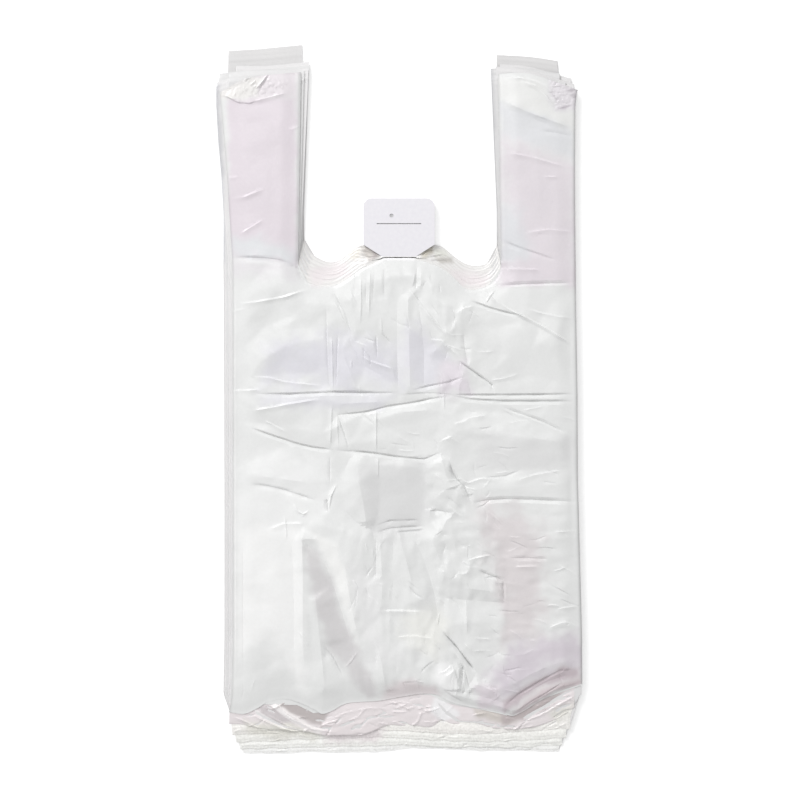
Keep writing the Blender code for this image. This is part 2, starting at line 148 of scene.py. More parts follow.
# Soft waves as seed, length and height: how the tints' borders wander across and along, and how the film's
# brightness varies
WANDER_ACROSS = ((21, 14, 0.8), (24, 5, 0.5))
WANDER_ALONG = ((22, 14, 0.8), (25, 5, 0.5))
MOTTLE = (23, 22, 40)

# A mouth strip's points along and across it, and how many pixels it goes on under the nearer bag
MOUTH_POINTS, MOUTH_ROWS, MOUTH_UNDER = 260, 22, 2.5
# How far it goes on beyond the bag's own mouth, in pixels, for the rear bag and for the others
REAR_MOUTH_HEM, MOUTH_HEM = 0.4, 1.9
# The height of its ridges, how many there are across it, and the share of it where they die away
MOUTH_RIDGE, MOUTH_RIDGES, MOUTH_RIDGE_END = 0.16, 2.2, 0.45
# How far its hem turns down, how much that varies, and its reach
MOUTH_TURN, MOUTH_TURN_SWAY, MOUTH_TURN_REACH = 0.3, 0.15, 1.3
# The pleats beside the tab as height, then how far from the strip's middle they end and fade, as shares of it
PLEATS = ((0.9, 0.24, 0.1), (1.4, 0.16, 0.05))

# A base strip's rows, and how many pixels it goes on under the nearer bag's base and is deep at least
BASE_ROWS, BASE_UNDER, LEAST_BASE = 34, 9, 12
BASE_COLUMN_STEP = 0.8
# How far its edge stands out from the base's line and its hem from that, in pixels, and the edge's waves
BASE_EDGE_OUT, BASE_HEM = 1.2, 1.2
BASE_WAVE, BASE_WAVE_HEIGHT = 9, 1.4
# How far under the nearer bag's base the crimp ends, and over how many pixels
COVER_ROWS, COVER_FADE = 6, 4.5
# How far the hem turns down, and the reach over which the crimp begins above the edge
BASE_TURN, CRIMP_REACH = 0.35, 2.4
# Crimped facets as the share of x and of y in their place across, then seed, spacing and height
CRIMPS = ((0.45, 0, 60, 1.5, 0.2), (0.7, 0.5, 70, 1.3, 0.18), (1, 0, 80, 8, 0.35))
FRONT_CRIMP = 0.45
# Fine creases of a base strip: how many, and their least and greatest height
FRONT_BASE_CREASES, REAR_BASE_CREASES = (170, (0.25, 0.75)), (60, (0.2, 0.5))
BASE_CREASE_TURN, BASE_CREASE_SPREAD = -0.12, 0.35

# The level of the film that the camera's scale is right for, the floor's drop below the pack, and the lights
FILM_LEVEL = 6
FLOOR_DROP = 0.3
FLOOR_GLOW = 0.4
SKY_LIGHT = 0.59

# Row of the photograph below the mouth where the film lies straight
LEVEL_ROW = 308

# The mouth's edge from the left handle to the right one, in photograph pixels, of the rear and the front bag
REAR_MOUTH = (
    (304, 236), (305, 242), (310, 252), (318, 258), (328, 262), (338, 261), (347, 255), (356, 248),
    (366, 245), (376, 250), (383, 257), (399, 257), (415, 257), (422, 250), (434, 245), (444, 248),
    (455, 257), (466, 264), (476, 266), (486, 264), (493, 257), (496, 249), (497, 243),
)
FRONT_MOUTH = (
    (298, 262), (298, 267), (301, 276), (307, 282), (320, 286), (336, 285), (350, 277), (362, 268),
    (374, 262), (380, 259), (384, 257), (399, 257), (414, 257), (418, 259), (426, 261), (438, 266),
    (452, 276), (464, 288), (472, 290), (482, 288), (492, 283), (499, 274), (501, 266),
)

# Each bag from the rear forwards, in photograph pixels: its body's left and right edges, its handles' tops
# and its base
BODY_EDGES = ((224, 573), (225, 574), (227, 575), (229, 576), (231, 577), (233, 579))
LEFT_TOPS = (
    ((228, 50), (262, 48), (302, 44)),
    ((236, 65), (270, 65), (309, 61)),
    ((219, 73), (250, 70), (309, 65)),
    ((218, 82), (240, 75), (308.5, 68)),
    ((229, 72), (262, 70), (304, 70)),
    ((221, 92), (250, 78), (301, 72)),
)
RIGHT_TOPS = (
    ((497, 54), (530, 56), (558, 60)),
    ((500, 63), (530, 66), (572, 78)),
    ((491, 68), (520, 67), (560, 73)),
    ((496, 66), (530, 70), (575, 84)),
    ((492, 75), (520, 72), (566, 82)),
    ((498, 74), (530, 74), (578, 90)),
)
BASE_EDGES = (
    ((243, 753), (379, 751), (404, 748), (480, 750), (559, 751)),
    ((240, 748), (330, 745), (400, 744), (500, 746), (562, 744)),
    ((236, 741), (300, 738), (380, 736), (480, 740), (566, 736)),
    ((232, 733), (300, 730), (370, 728), (470, 732), (570, 727)),
    (
        (229, 722), (245, 723), (270, 727), (300, 729), (320, 732), (345, 733), (365, 732), (385, 724),
        (400, 723), (430, 725), (441, 718), (452, 721), (480, 723), (500, 727), (520, 727), (545, 722),
        (562, 714), (574, 705),
    ),
    (
        (229, 712), (244, 714), (258, 708), (268, 702), (285, 699), (300, 703), (315, 710), (322, 714),
        (332, 711), (345, 704), (360, 702), (378, 701), (395, 698), (420, 694), (437, 695), (450, 702),
        (465, 706), (483, 709), (500, 712), (512, 716), (524, 711), (540, 701), (560, 691), (582, 684),
    ),
)

# Rows at which a side edge has a corner, and what happens there: the share of the handle's lean that is left
# at the first, and how many pixels the right edge stands out and the left one is drawn in near the base
SIDE_CORNERS = (150, 265, 480, 640, 694)
HANDLE_LEAN = 0.55
RIGHT_STANDS_OUT, LEFT_DRAWN_IN = 4, 1
# How many pixels the side edges bulge at these rows, and the share of it at the front bag's left edge
SIDE_ROWS = (75, 88, 105, 140, 175, 250, 300, 394, 502, 650, 690)
LEFT_BULGE = (0, -2.5, -3.7, -4.3, -2.6, -1.3, -0.7, -0.3, 0, 0, 0)
RIGHT_BULGE = (0, -0.5, -2.6, -3.2, -3.6, -3.4, -3.0, -1.5, -1.0, -0.8, 0.5)
FRONT_LEFT_BULGE = 0.4

# Folds of the front bag's wall: the height (a valley's is negative), how far the fold reaches to the left and
# to the right of its line, then the line in photograph pixels. The light comes from the top left, so a valley
# that runs across is dark above and light below, and a ridge is the other way round.
FOLDS = (
    # Below the handles, and below the mouth on the left
    (-0.8, 1.7, 1.7, ((228, 257), (262, 258), (283, 261), (299, 268), (306, 281))),
    (-1.3, 2.4, 1.8, ((492, 286), (530, 284), (576, 283))),
    (0.7, 1.5, 1.3, ((240, 304), (258, 302), (285, 297), (312, 288))),
    (0.4, 1.2, 1.2, ((227, 313), (246, 308))),
    # Left of the centre
    (-0.7, 1.2, 1.2, ((331, 290), (337, 300), (345, 314), (352, 337))),
    (0.5, 1.2, 1.0, ((336, 304), (343, 319), (350, 329))),
    (0.6, 1.4, 1.4, ((360, 356), (375, 363), (396, 370))),
    (-0.4, 1.0, 1.0, ((326, 305), (327, 345), (329, 392))),
    (0.5, 1.0, 1.0, ((332, 335), (333, 392))),
    (-0.5, 1.0, 1.2, ((338, 332), (337, 360), (336, 392))),
    (0.5, 1.2, 1.2, ((332, 404), (330, 448))),
    (0.4, 1.2, 1.0, ((337, 412), (338, 448))),
    (-0.5, 1.0, 1.0, ((330, 455), (330, 486))),
    # The gathers below the tab
    (-0.3, 1.9, 1.9, ((355, 270), (354, 293))),
    (0.5, 1.2, 1.6, ((361, 270), (361, 305), (360, 326))),
    (-0.2, 1.0, 1.0, ((366, 268), (366, 302))),
    (0.4, 1.2, 1.2, ((370, 268), (369, 318))),
    (-0.2, 1.0, 1.0, ((374, 266), (373, 306))),
    (-0.3, 2.0, 1.6, ((384, 264), (384, 300))),
    (-0.7, 3.5, 3.0, ((417, 262), (416, 292))),
    (-0.6, 1.0, 1.0, ((376, 335), (377, 360))),
    (0.4, 1.0, 1.0, ((381, 318), (382, 334))),
    (-0.4, 1.0, 1.0, ((382, 333), (391, 343))),
    # The crease from the tab to the right, and wrinkles beside it
    (0.9, 1.3, 1.2, ((405, 285), (413, 294), (422, 307), (435, 322), (448, 337))),
    (0.5, 1.6, 1.6, ((456, 314), (463, 309), (474, 306))),
    (-0.5, 2.0, 2.0, ((451, 305), (455, 318), (449, 331))),
    (1.1, 1.4, 3.5, ((430, 340), (441, 341), (450, 349), (461, 358))),
    (-1.7, 1.3, 1.1, ((459, 361), (470, 369), (480, 376), (492, 385), (494, 393))),
    (-0.5, 1.4, 1.4, ((463, 330), (465, 350), (468, 366))),
    # Slivers at the foot
    (-0.9, 1.1, 1.1, ((462, 662), (467, 678), (471, 698))),
    (-0.7, 1.1, 1.1, ((444, 690), (454, 697), (464, 702))),
    (0.7, 1.0, 1.0, ((452, 664), (457, 680), (456, 696))),
    # Below the mouth on the right
    (-1.1, 1.1, 1.1, ((469, 300), (490, 308), (505, 312), (521, 316))),
    (1.1, 1.1, 1.1, ((497, 301), (508, 309), (520, 315), (540, 325), (560, 337), (573, 345))),
    (0.7, 1.0, 1.0, ((483, 291), (490, 296), (496, 303))),
    (0.6, 1.0, 1.0, ((495, 290), (490, 296), (486, 303))),
    (0.4, 1.2, 1.2, ((525, 308), (540, 313), (560, 317), (576, 318))),
    # The middle fold and what branches from it
    (0.4, 1.3, 1.3, ((490, 380), (502, 379), (518, 374))),
    (0.5, 1.3, 1.3, ((252, 377), (270, 378), (285, 382), (323, 386))),
    (0.5, 1.3, 1.3, ((227, 391), (262, 390))),
    (-1.1, 1.3, 1.3, ((257, 394), (290, 394), (335, 392), (398, 393))),
    (-0.4, 1.2, 1.2, ((398, 395), (430, 393), (455, 395))),
    (-1.2, 1.3, 1.2, ((450, 395), (500, 395), (577, 394))),
    (-1.2, 1.3, 1.3, ((452, 396), (470, 399), (500, 401), (577, 401))),
    (0.7, 1.5, 1.5, ((250, 411), (270, 408), (285, 405), (321, 399))),
    (-1.0, 1.2, 1.2, ((338, 415), (365, 412), (390, 406), (410, 403), (430, 399), (450, 396))),
    (-0.7, 1.4, 1.2, ((412, 390), (430, 386), (450, 382), (467, 375))),
    (-0.9, 3.2, 1.0, ((338, 416), (344, 432), (349, 449))),
    # Between the middle fold and the lower packing folds
    (-1.2, 1.2, 1.2, ((251, 428), (268, 434), (295, 443), (312, 447), (332, 450))),
    (-1.1, 1.2, 1.2, ((340, 451), (365, 452), (400, 457), (425, 459), (441, 452))),
    (0.4, 1.1, 1.1, ((264, 420), (286, 432))),
    (0.5, 1.2, 1.4, ((376, 408), (376, 455))),
    (0.4, 1.1, 1.2, ((378, 458), (378, 478))),
    (-1.2, 2.2, 1.6, ((500, 406), (515, 412), (530, 417), (545, 423), (568, 434))),
    (0.6, 1.5, 2.0, ((453, 424), (463, 422), (470, 418), (488, 415))),
    (0.5, 1.2, 1.2, ((439, 442), (450, 437), (461, 444))),
    (-1.3, 2.0, 1.6, ((449, 458), (452, 470), (457, 479), (464, 486), (471, 502))),
    (0.5, 1.3, 1.3, ((459, 478), (468, 483), (480, 479), (497, 478))),
    (-0.4, 1.2, 1.2, ((484, 478), (505, 476), (520, 470))),
    (0.5, 1.4, 1.4, ((518, 480), (535, 475), (562, 470))),
    (-1.7, 2.4, 2.8, ((472, 503), (490, 500), (510, 499), (540, 500), (578, 502))),
    (-0.7, 1.6, 1.6, ((251, 484), (268, 486), (285, 490), (300, 495), (315, 500))),
    (0.6, 1.0, 1.0, ((293, 503), (298, 511), (304, 514), (309, 510))),
    (-1.0, 1.3, 1.3, ((327, 499), (328, 512))),
    (0.6, 1.1, 1.1, ((337, 484), (331, 496), (329, 509))),
    # Below the packing folds
    (-0.6, 1.3, 1.3, ((374, 526), (390, 521), (420, 520))),
    (-0.7, 1.3, 1.3, ((377, 532), (392, 528), (424, 526))),
    (-0.6, 1.3, 1.3, ((396, 532), (424, 530))),
    (0.8, 1.4, 1.6, ((447, 505), (455, 512), (464, 517))),
    (-0.9, 2.0, 3.0, ((428, 511), (440, 511), (452, 513))),
    (0.6, 2.0, 3.0, ((270, 530), (284, 524), (304, 524))),
    (-0.8, 1.3, 1.3, ((324, 646), (333, 657), (343, 676))),
    (1.0, 4.0, 3.0, ((466, 598), (467, 640))),
    (0.7, 1.6, 2.0, ((380, 611), (400, 611), (422, 612))),
    (0.5, 1.3, 1.3, ((397, 637), (415, 636), (434, 639))),
    (0.5, 1.3, 1.3, ((474, 638), (491, 639))),
    (-1.9, 1.3, 1.2, ((442, 631), (455, 645), (465, 658), (476, 672))),
    (-1.3, 1.4, 1.4, ((454, 653), (463, 668), (461, 690))),
    (0.7, 1.4, 1.4, ((468, 560), (480, 557), (491, 555))),
    (-1.0, 2.0, 1.6, ((478, 570), (490, 575), (504, 580))),
    (-0.8, 2.0, 1.6, ((503, 580), (504, 601))),
    (-0.8, 2.0, 2.5, ((506, 558), (530, 558), (549, 559))),
    (0.6, 1.6, 1.6, ((514, 567), (541, 566))),
    # The lower right
    (-0.8, 1.2, 1.0, ((503, 708), (518, 694), (540, 681), (560, 670), (576, 670))),
    (-0.8, 1.0, 1.0, ((516, 712), (532, 701), (546, 693), (562, 683))),
    (0.8, 1.6, 2.0, ((548, 628), (565, 622), (578, 627))),
    (0.5, 1.4, 1.4, ((556, 609), (578, 606))),
    (0.4, 1.3, 1.3, ((552, 532), (578, 531))),
    # The left handle's curled lip, and the tear below the tab
    (1.3, 7.0, 1.0, ((218, 94), (228, 97), (238, 102), (250, 103), (257, 101))),
    (0.6, 2.0, 1.2, ((252, 102), (264, 99), (275, 96), (288, 93))),
    (0.5, 0.9, 0.9, ((385, 258), (399, 258.5), (414, 258))),
    # The left handle
    (-0.45, 1.3, 1.2, ((271, 73), (266, 80), (261, 88), (258, 95))),
    (0.9, 1.0, 1.0, ((244, 81), (250, 76))),
    (0.9, 1.0, 1.0, ((250, 86), (256, 80))),
    (1.0, 1.0, 1.0, ((256, 89), (263, 81), (267, 75))),
    (0.7, 1.2, 1.2, ((270, 70), (292, 71), (300, 76), (301, 88))),
    (0.5, 1.3, 1.3, ((289, 130), (299, 126))),
    (0.4, 1.2, 1.2, ((228, 178), (238, 177))),
    (0.5, 1.6, 1.4, ((229, 199), (245, 197), (264, 189))),
    (0.4, 1.3, 1.3, ((240, 234), (252, 227), (263, 220))),
    # The right handle
    (1.2, 11.0, 3.4, ((499, 97), (512, 105), (530, 113), (552, 121), (576, 130))),
    (-0.5, 2.4, 3.0, ((540, 131), (556, 133), (576, 137))),
    (0.5, 1.0, 1.0, ((499, 78), (520, 78), (540, 82))),
    (0.6, 1.3, 1.3, ((520, 81), (535, 86), (546, 96), (555, 108))),
    (0.6, 1.3, 1.3, ((532, 80), (546, 86), (556, 96))),
    (0.6, 1.4, 1.4, ((508, 153), (530, 157), (548, 162), (566, 167))),
    (0.4, 1.2, 1.2, ((544, 177), (557, 177))),
    (0.5, 1.3, 1.3, ((526, 233), (548, 230), (575, 232))),
    (-0.6, 1.3, 1.3, ((502, 240), (515, 246), (535, 253), (556, 260))),
    (0.4, 1.4, 1.4, ((502, 269), (542, 270))),
    # The left edge
    (0.5, 1.3, 1.6, ((235, 300), (235, 500), (236, 680))),
    (-0.3, 1.2, 1.2, ((243, 540), (243, 680))),
)

# Corners and creases of the front bag's broad facets: each line's places as column and row in the photograph
# and height. The film lies straight between neighbouring lines.
NET = (
    # Far beyond the bag
    ((190, 20, 1.4), (610, 20, 1.4)),
    ((190, 790, 1.4), (610, 790, 1.4)),
    # The handles and the margins
    ((226, 120, 1.5), (226, 180, 1.4), (228, 240, 1.5)),
    ((262, 112, 1.8), (268, 160, 1.5), (262, 210, 1.7), (262, 250, 1.6)),
    ((294, 110, 1.5), (296, 180, 1.6), (297, 240, 1.5)),
    ((505, 110, 1.4), (505, 180, 1.2), (506, 250, 1.6)),
    ((536, 150, 1.9), (540, 200, 1.6), (536, 262, 1.9)),
    ((569, 150, 1.2), (570, 210, 1.6), (570, 276, 1.2)),
    (
        (233, 285, 1.0), (233, 340, 1.4), (233, 392, 1.0), (233, 470, 1.2), (235, 560, 1.0), (236, 640, 1.2),
        (242, 686, 1.0),
    ),
    (
        (570, 300, 1.4), (570, 345, 0.8), (571, 388, 1.2), (571, 430, 1.4), (571, 470, 0.8), (572, 560, 1.4),
        (575, 640, 1.6),
    ),
    # From the mouth to the middle fold
    ((246, 280, 1.8), (282, 284, 2.2), (306, 300, 1.6)),
    ((248, 320, 1.8), (266, 326, 0.6), (292, 316, 1.2)),
    ((246, 346, 1.0), (262, 360, 2.6), (286, 346, 2.4), (324, 338, 2.2)),
    ((250, 378, 1.0), (284, 374, 0.8), (318, 372, 0.9)),
    ((330, 288, 1.0), (338, 304, 1.4), (350, 336, 1.2)),
    ((336, 284, 2.4), (352, 304, 2.8), (356, 330, 2.6)),
    ((342, 352, 2.8), (356, 388, 2.6)),
    ((352, 346, 0.9), (364, 366, 0.5), (382, 376, 0.8)),
    ((366, 330, 2.0), (380, 350, 2.8), (390, 364, 2.4)),
    ((397, 300, 1.2), (397, 350, 0.7), (398, 388, 0.8)),
    ((408, 300, 2.2), (409, 340, 2.8), (410, 386, 2.6)),
    ((418, 300, 0.9), (422, 330, 1.0), (424, 352, 0.7), (424, 384, 0.8)),
    ((428, 274, 2.2), (434, 300, 3.2), (448, 337, 3.2), (466, 364, 2.2)),
    ((430, 356, 1.8), (438, 380, 1.8)),
    ((444, 362, 0.7), (452, 384, 0.7)),
    ((452, 296, 1.0), (462, 312, 2.4), (466, 336, 1.2), (476, 360, 1.8)),
    ((486, 318, 1.2), (520, 330, 2.4), (552, 348, 2.6)),
    ((500, 382, 0.9), (540, 376, 1.2)),
    # From the middle fold to the lower packing folds
    ((256, 394, 1.4), (300, 394, 1.6), (335, 392, 1.4), (380, 393, 1.6)),
    ((456, 396, 1.4), (500, 396, 1.6), (560, 396, 1.4)),
    ((258, 410, 2.4), (288, 405, 2.4), (322, 400, 1.8)),
    ((340, 404, 2.2), (376, 402, 2.2)),
    ((338, 415, 0.8), (365, 412, 0.9), (400, 403, 0.9), (436, 399, 1.2)),
    ((256, 422, 1.0), (290, 428, 1.6), (322, 434, 2.2)),
    ((252, 432, 1.0), (296, 443, 0.8), (330, 450, 0.9), (366, 452, 0.9), (402, 457, 0.9), (440, 454, 1.2)),
    ((342, 424, 2.4), (350, 444, 2.2)),
    ((376, 420, 2.0), (378, 440, 2.2)),
    ((402, 412, 2.4), (430, 410, 2.2)),
    ((404, 436, 1.0), (432, 438, 0.6)),
    ((444, 402, 1.2), (452, 416, 2.4), (462, 428, 3.0), (450, 438, 2.6)),
    ((462, 404, 1.4), (470, 412, 0.7), (500, 412, 0.9), (545, 426, 0.8)),
    ((474, 434, 2.8), (520, 436, 2.8), (560, 442, 2.4)),
    ((474, 470, 0.9), (520, 470, 0.9)),
    ((486, 490, 1.6), (530, 486, 2.4), (566, 484, 2.0)),
    ((442, 460, 2.6), (446, 476, 2.8), (458, 494, 2.6)),
    ((452, 460, 1.0), (456, 476, 0.7), (466, 490, 0.7), (472, 502, 0.8)),
    ((260, 456, 1.2), (304, 462, 1.4)),
    ((258, 476, 2.2), (306, 482, 2.4)),
    ((252, 486, 1.0), (286, 491, 0.9), (315, 500, 0.9)),
    # In the centre, across those folds
    ((350, 458, 1.0), (340, 480, 0.8), (330, 501, 0.8), (345, 511, 0.9), (357, 523, 0.8)),
    ((357, 462, 2.4), (359, 482, 3.6), (363, 500, 3.8), (366, 521, 3.2)),
    ((378, 464, 1.6), (380, 494, 1.4), (378, 518, 1.0)),
    ((404, 466, 2.2), (408, 490, 1.6), (406, 516, 1.2)),
    ((424, 468, 1.0), (426, 492, 0.8), (424, 514, 0.8)),
    ((446, 500, 2.8), (456, 510, 2.6)),
    ((372, 530, 0.8), (396, 525, 0.7), (426, 524, 0.8)),
    # Below them, on the left and in the centre
    ((262, 528, 1.2), (284, 522, 1.0), (304, 526, 1.0)),
    ((316, 516, 1.2), (322, 526, 2.4), (344, 532, 2.6)),
    ((252, 560, 1.6), (258, 610, 2.2), (260, 654, 2.4), (270, 684, 1.6)),
    ((292, 540, 1.8), (294, 600, 2.4), (294, 650, 2.4), (296, 684, 1.6)),
    ((302, 538, 2.8), (303, 570, 4.4), (303, 600, 4.6), (303, 640, 4.4), (304, 662, 3.6)),
    ((308, 598, 4.0), (312, 640, 3.9), (313, 684, 3.1)),
    ((316, 600, 4.3), (320, 640, 4.5), (325, 688, 3.9)),
    (
        (308, 546, 1.2), (316, 553, 0.8), (326, 566, 0.7), (333, 584, 0.6), (340, 606, 0.5), (350, 640, 0.5),
        (363, 664, 0.6), (377, 694, 0.8),
    ),
    ((326, 646, 3.0), (334, 658, 2.8), (344, 680, 2.6)),
    ((320, 540, 2.2), (336, 547, 3.4), (345, 566, 4.0), (350, 598, 4.2), (356, 628, 3.8)),
    ((362, 540, 2.6), (363, 572, 2.8)),
    ((376, 546, 0.9), (376, 574, 1.0)),
    ((366, 586, 2.4), (368, 626, 2.6)),
    ((380, 540, 1.8), (382, 576, 2.1), (382, 606, 2.0)),
    ((393, 536, 1.0), (393, 572, 0.8), (392, 606, 0.9)),
    ((360, 640, 2.0), (368, 662, 1.4), (374, 686, 1.2)),
    ((376, 642, 3.2), (382, 664, 3.4), (386, 690, 2.8)),
    ((398, 652, 1.6), (396, 670, 0.8), (398, 690, 0.8)),
    ((400, 538, 1.8), (406, 560, 3.2), (412, 582, 3.8), (424, 598, 3.6), (433, 612, 2.0)),
    ((402, 586, 1.4), (404, 606, 1.2)),
    ((415, 540, 1.2), (423, 558, 0.8), (429, 575, 0.6), (435, 596, 0.7), (438, 616, 1.0)),
    ((432, 540, 3.0), (441, 562, 3.2), (444, 576, 3.4)),
    # Below them, right of the centre, and the foot
    ((448, 577, 3.4), (465, 578, 3.2), (468, 588, 3.0), (492, 591, 2.6)),
    ((446, 598, 0.9), (468, 600, 0.9), (496, 602, 1.2)),
    ((452, 552, 1.2), (472, 562, 2.2), (486, 572, 1.2)),
    ((452, 624, 2.6), (478, 622, 3.0), (500, 626, 2.4)),
    ((420, 640, 2.4), (434, 652, 2.2)),
    ((444, 633, 1.6), (456, 646, 1.2), (467, 660, 0.9), (477, 673, 0.8)),
    ((420, 668, 1.2), (434, 674, 1.0), (438, 690, 1.4)),
    ((444, 660, 2.4), (453, 672, 3.2), (459, 688, 3.2)),
    ((461, 668, 1.0), (465, 692, 0.6)),
    ((478, 684, 3.0), (492, 690, 3.4)),
    ((500, 530, 1.0), (506, 560, 1.6), (508, 600, 1.0), (508, 640, 1.6)),
    ((544, 530, 1.8), (546, 560, 2.4), (546, 600, 1.6), (548, 636, 2.2)),
    ((496, 690, 2.0), (514, 683, 2.7), (530, 674, 3.0), (545, 667, 3.0), (560, 662, 2.8), (577, 661, 2.2)),
    ((506, 703, 1.0), (520, 696, 0.7), (535, 688, 0.6), (548, 681, 0.6), (564, 676, 0.6), (578, 674, 0.8)),
    ((516, 716, 1.6), (532, 708, 2.0), (550, 698, 2.0), (568, 690, 1.6)),
)

# Areas of the front wall with fine wrinkles: how many there are, the area's left, top, right and bottom in
# pixels, and the wrinkles' usual turn from straight across and its spread, in radians
FINE_AREAS = (
    (9, (345, 270, 440, 335), 1.5, 0.25),
    (16, (440, 305, 476, 392), 1.1, 0.5),
    (10, (345, 300, 400, 385), 0.9, 0.5),
    (34, (432, 462, 500, 600), 0.6, 0.8),
    (10, (345, 405, 470, 450), 0.1, 0.5),
    (34, (345, 535, 470, 690), 1.25, 0.5),
    (20, (482, 512, 572, 650), 0.05, 0.3),
    (10, (470, 405, 570, 490), 0.1, 0.25),
    (6, (240, 500, 300, 690), 1.4, 0.4),
    (24, (400, 650, 560, 694), 0.5, 0.7),
)
FINE_SEED, FINE_HEIGHTS = 200, (0.12, 0.36)
FINE_STEPS, FINE_BEND = (4, 12), 0.25
FINE_LEFT, FINE_RIGHT = 0.9, 0.8

# Colours of the crimped bases that show below the front bag, from the rear bag forwards, and patches in them
# as the tints further below, some of them painted shade and highlights
BASE_COLOURS = (
    (0.98, 0.98, 0.965),
    (0.98, 0.98, 0.95),
    (0.98, 0.975, 0.94),
    (0.96, 0.94, 0.91),
    # The nearest base is darker and pinker, partly its own tone and partly painted shade below the front bag's
    # edge
    (0.85, 0.795, 0.805),
)
BASE_TINTS_AND_PAINTED_LIGHT = (
    ((0.8, 0.785, 0.73), 4, ((246, 722), (300, 726), (320, 734), (310, 740), (270, 738), (250, 732))),
    ((0.86, 0.8, 0.81), 5, ((318, 722), (380, 722), (384, 742), (330, 744))),
    # Painted shade under the front bag's lower edge, in these two
    ((0.55, 0.505, 0.5), 2, ((272, 699), (300, 703), (328, 712), (322, 725), (300, 719), (284, 710))),
    ((0.64, 0.6, 0.61), 2, ((256, 706), (280, 710), (297, 722), (280, 725), (262, 718))),
    # A painted highlight along the pale fold, then two painted glints
    ((0.93, 0.89, 0.885), 1.2, (
        (262, 696), (271, 698), (290, 712), (308, 723), (324, 730), (318, 734), (300, 727), (281, 714),
    )),
    ((0.97, 0.94, 0.94), 0.6, ((246, 703), (262, 714), (284, 726), (306, 732), (282, 728), (260, 717))),
    ((0.97, 0.94, 0.94), 0.6, ((262, 697), (274, 704), (294, 720), (318, 731), (292, 722), (272, 707))),
    # A painted highlight on the pale lump
    ((0.93, 0.92, 0.93), 2, ((434, 696), (446, 699), (460, 716), (444, 722), (430, 712))),
    ((0.68, 0.635, 0.6), 3, ((472, 708), (500, 710), (516, 724), (478, 720))),
    # Painted shadow under the front bag's curled edge at the right
    ((0.55, 0.49, 0.49), 3, (
        (500, 712), (516, 714), (544, 698), (562, 692), (556, 702), (522, 722), (502, 724),
    )),
    ((0.8, 0.785, 0.74), 4, ((548, 714), (572, 704), (570, 718), (556, 724))),
)

# The bare bases' left, top, right and bottom, and folds in them, as the folds above
BARE_BASES = (232, 695, 575, 755)
BASE_FOLDS = (
    (0.9, 1.3, 1.3, ((262, 696), (272, 702), (285, 712), (305, 725), (320, 731))),
    (0.7, 1.0, 1.0, ((250, 700), (262, 712), (280, 722), (296, 730))),
    (0.7, 1.0, 1.0, ((232, 716), (246, 722), (262, 730), (284, 735))),
    (0.7, 1.0, 1.0, ((240, 706), (258, 718), (280, 728), (310, 736))),
    (-0.7, 1.0, 1.0, ((244, 704), (262, 716), (290, 729), (316, 735))),
    (0.6, 1.0, 1.0, ((272, 704), (290, 718), (312, 729), (338, 733))),
    (-0.7, 1.0, 1.0, ((248, 727), (266, 731), (290, 732), (318, 737))),
    (0.4, 1.2, 1.2, ((322, 724), (345, 713), (368, 708), (392, 709))),
    (-0.4, 1.2, 1.2, ((330, 730), (350, 722), (372, 717), (402, 716))),
    (0.3, 1.0, 1.0, ((386, 704), (402, 702), (418, 706), (432, 714))),
    (-0.8, 1.2, 1.2, ((436, 700), (446, 712), (460, 722), (480, 724))),
    (0.8, 1.2, 1.2, ((428, 704), (438, 716), (450, 726))),
    (0.6, 1.0, 1.0, ((470, 716), (488, 712), (500, 718))),
    (-0.9, 1.2, 1.2, ((520, 720), (545, 706), (566, 692), (580, 688))),
    (0.7, 1.0, 1.0, ((516, 726), (542, 714), (564, 702), (578, 694))),
    (-0.9, 1.0, 1.0, ((554, 712), (564, 706), (573, 704))),
    (-0.8, 1.0, 1.0, ((552, 719), (562, 713), (572, 710))),
)

# The gathers beside the tab, in the bags' mouths, as the folds above, and patches as the tints further below,
# some of them painted shade
NECK_FOLDS = (
    (-0.7, 1.0, 0.9, ((377, 256), (374, 249), (366, 247), (352, 249))),
    (-0.6, 0.9, 0.9, ((374, 257), (366, 252), (358, 251), (349, 251))),
    (-0.7, 0.9, 0.9, ((372, 259), (364, 256), (356, 254), (347, 255))),
    (-0.6, 0.9, 0.9, ((369, 260), (360, 258), (348, 258))),
    (-0.5, 0.9, 0.9, ((366, 262), (354, 262), (342, 262))),
    (-0.8, 1.2, 1.0, ((421, 257), (425, 251), (433, 247))),
    (-0.6, 1.0, 1.0, ((424, 258), (432, 257), (442, 255), (449, 257))),
    (-0.6, 1.0, 1.0, ((428, 260), (438, 261), (450, 260))),
)
NECK_TINTS_AND_SHADE = (
    # Painted shade in the gathers at the tab's left corner, deeper under the corner itself
    ((0.58, 0.55, 0.52), 2.4, ((360, 245), (372, 245), (378, 256), (368, 261), (362, 254))),
    ((0.5, 0.46, 0.45), 1.2, ((371, 247), (376, 250), (378, 258), (368, 260), (372, 255))),
    ((0.84, 0.81, 0.76), 2, ((346, 250), (360, 247), (360, 258), (346, 260))),
    ((0.84, 0.79, 0.8), 4, ((310, 268), (346, 262), (352, 276), (312, 284))),
    # Painted shade in the gathers at the tab's right corner
    ((0.58, 0.55, 0.48), 2, ((419, 246), (434, 244), (434, 254), (422, 259))),
    ((0.8, 0.8, 0.75), 2, ((434, 248), (446, 249), (450, 256), (436, 257))),
    ((0.97, 0.96, 0.96), 0.5, ((377, 251), (379, 251), (384, 258), (381, 258))),
    ((0.97, 0.96, 0.96), 0.5, ((418, 250), (420, 251), (417, 258), (415, 257))),
    ((0.6, 0.58, 0.55), 2, ((436, 257), (452, 256), (452, 262), (440, 263))),
    ((0.84, 0.79, 0.8), 4, ((450, 270), (490, 276), (486, 286), (462, 286))),
)

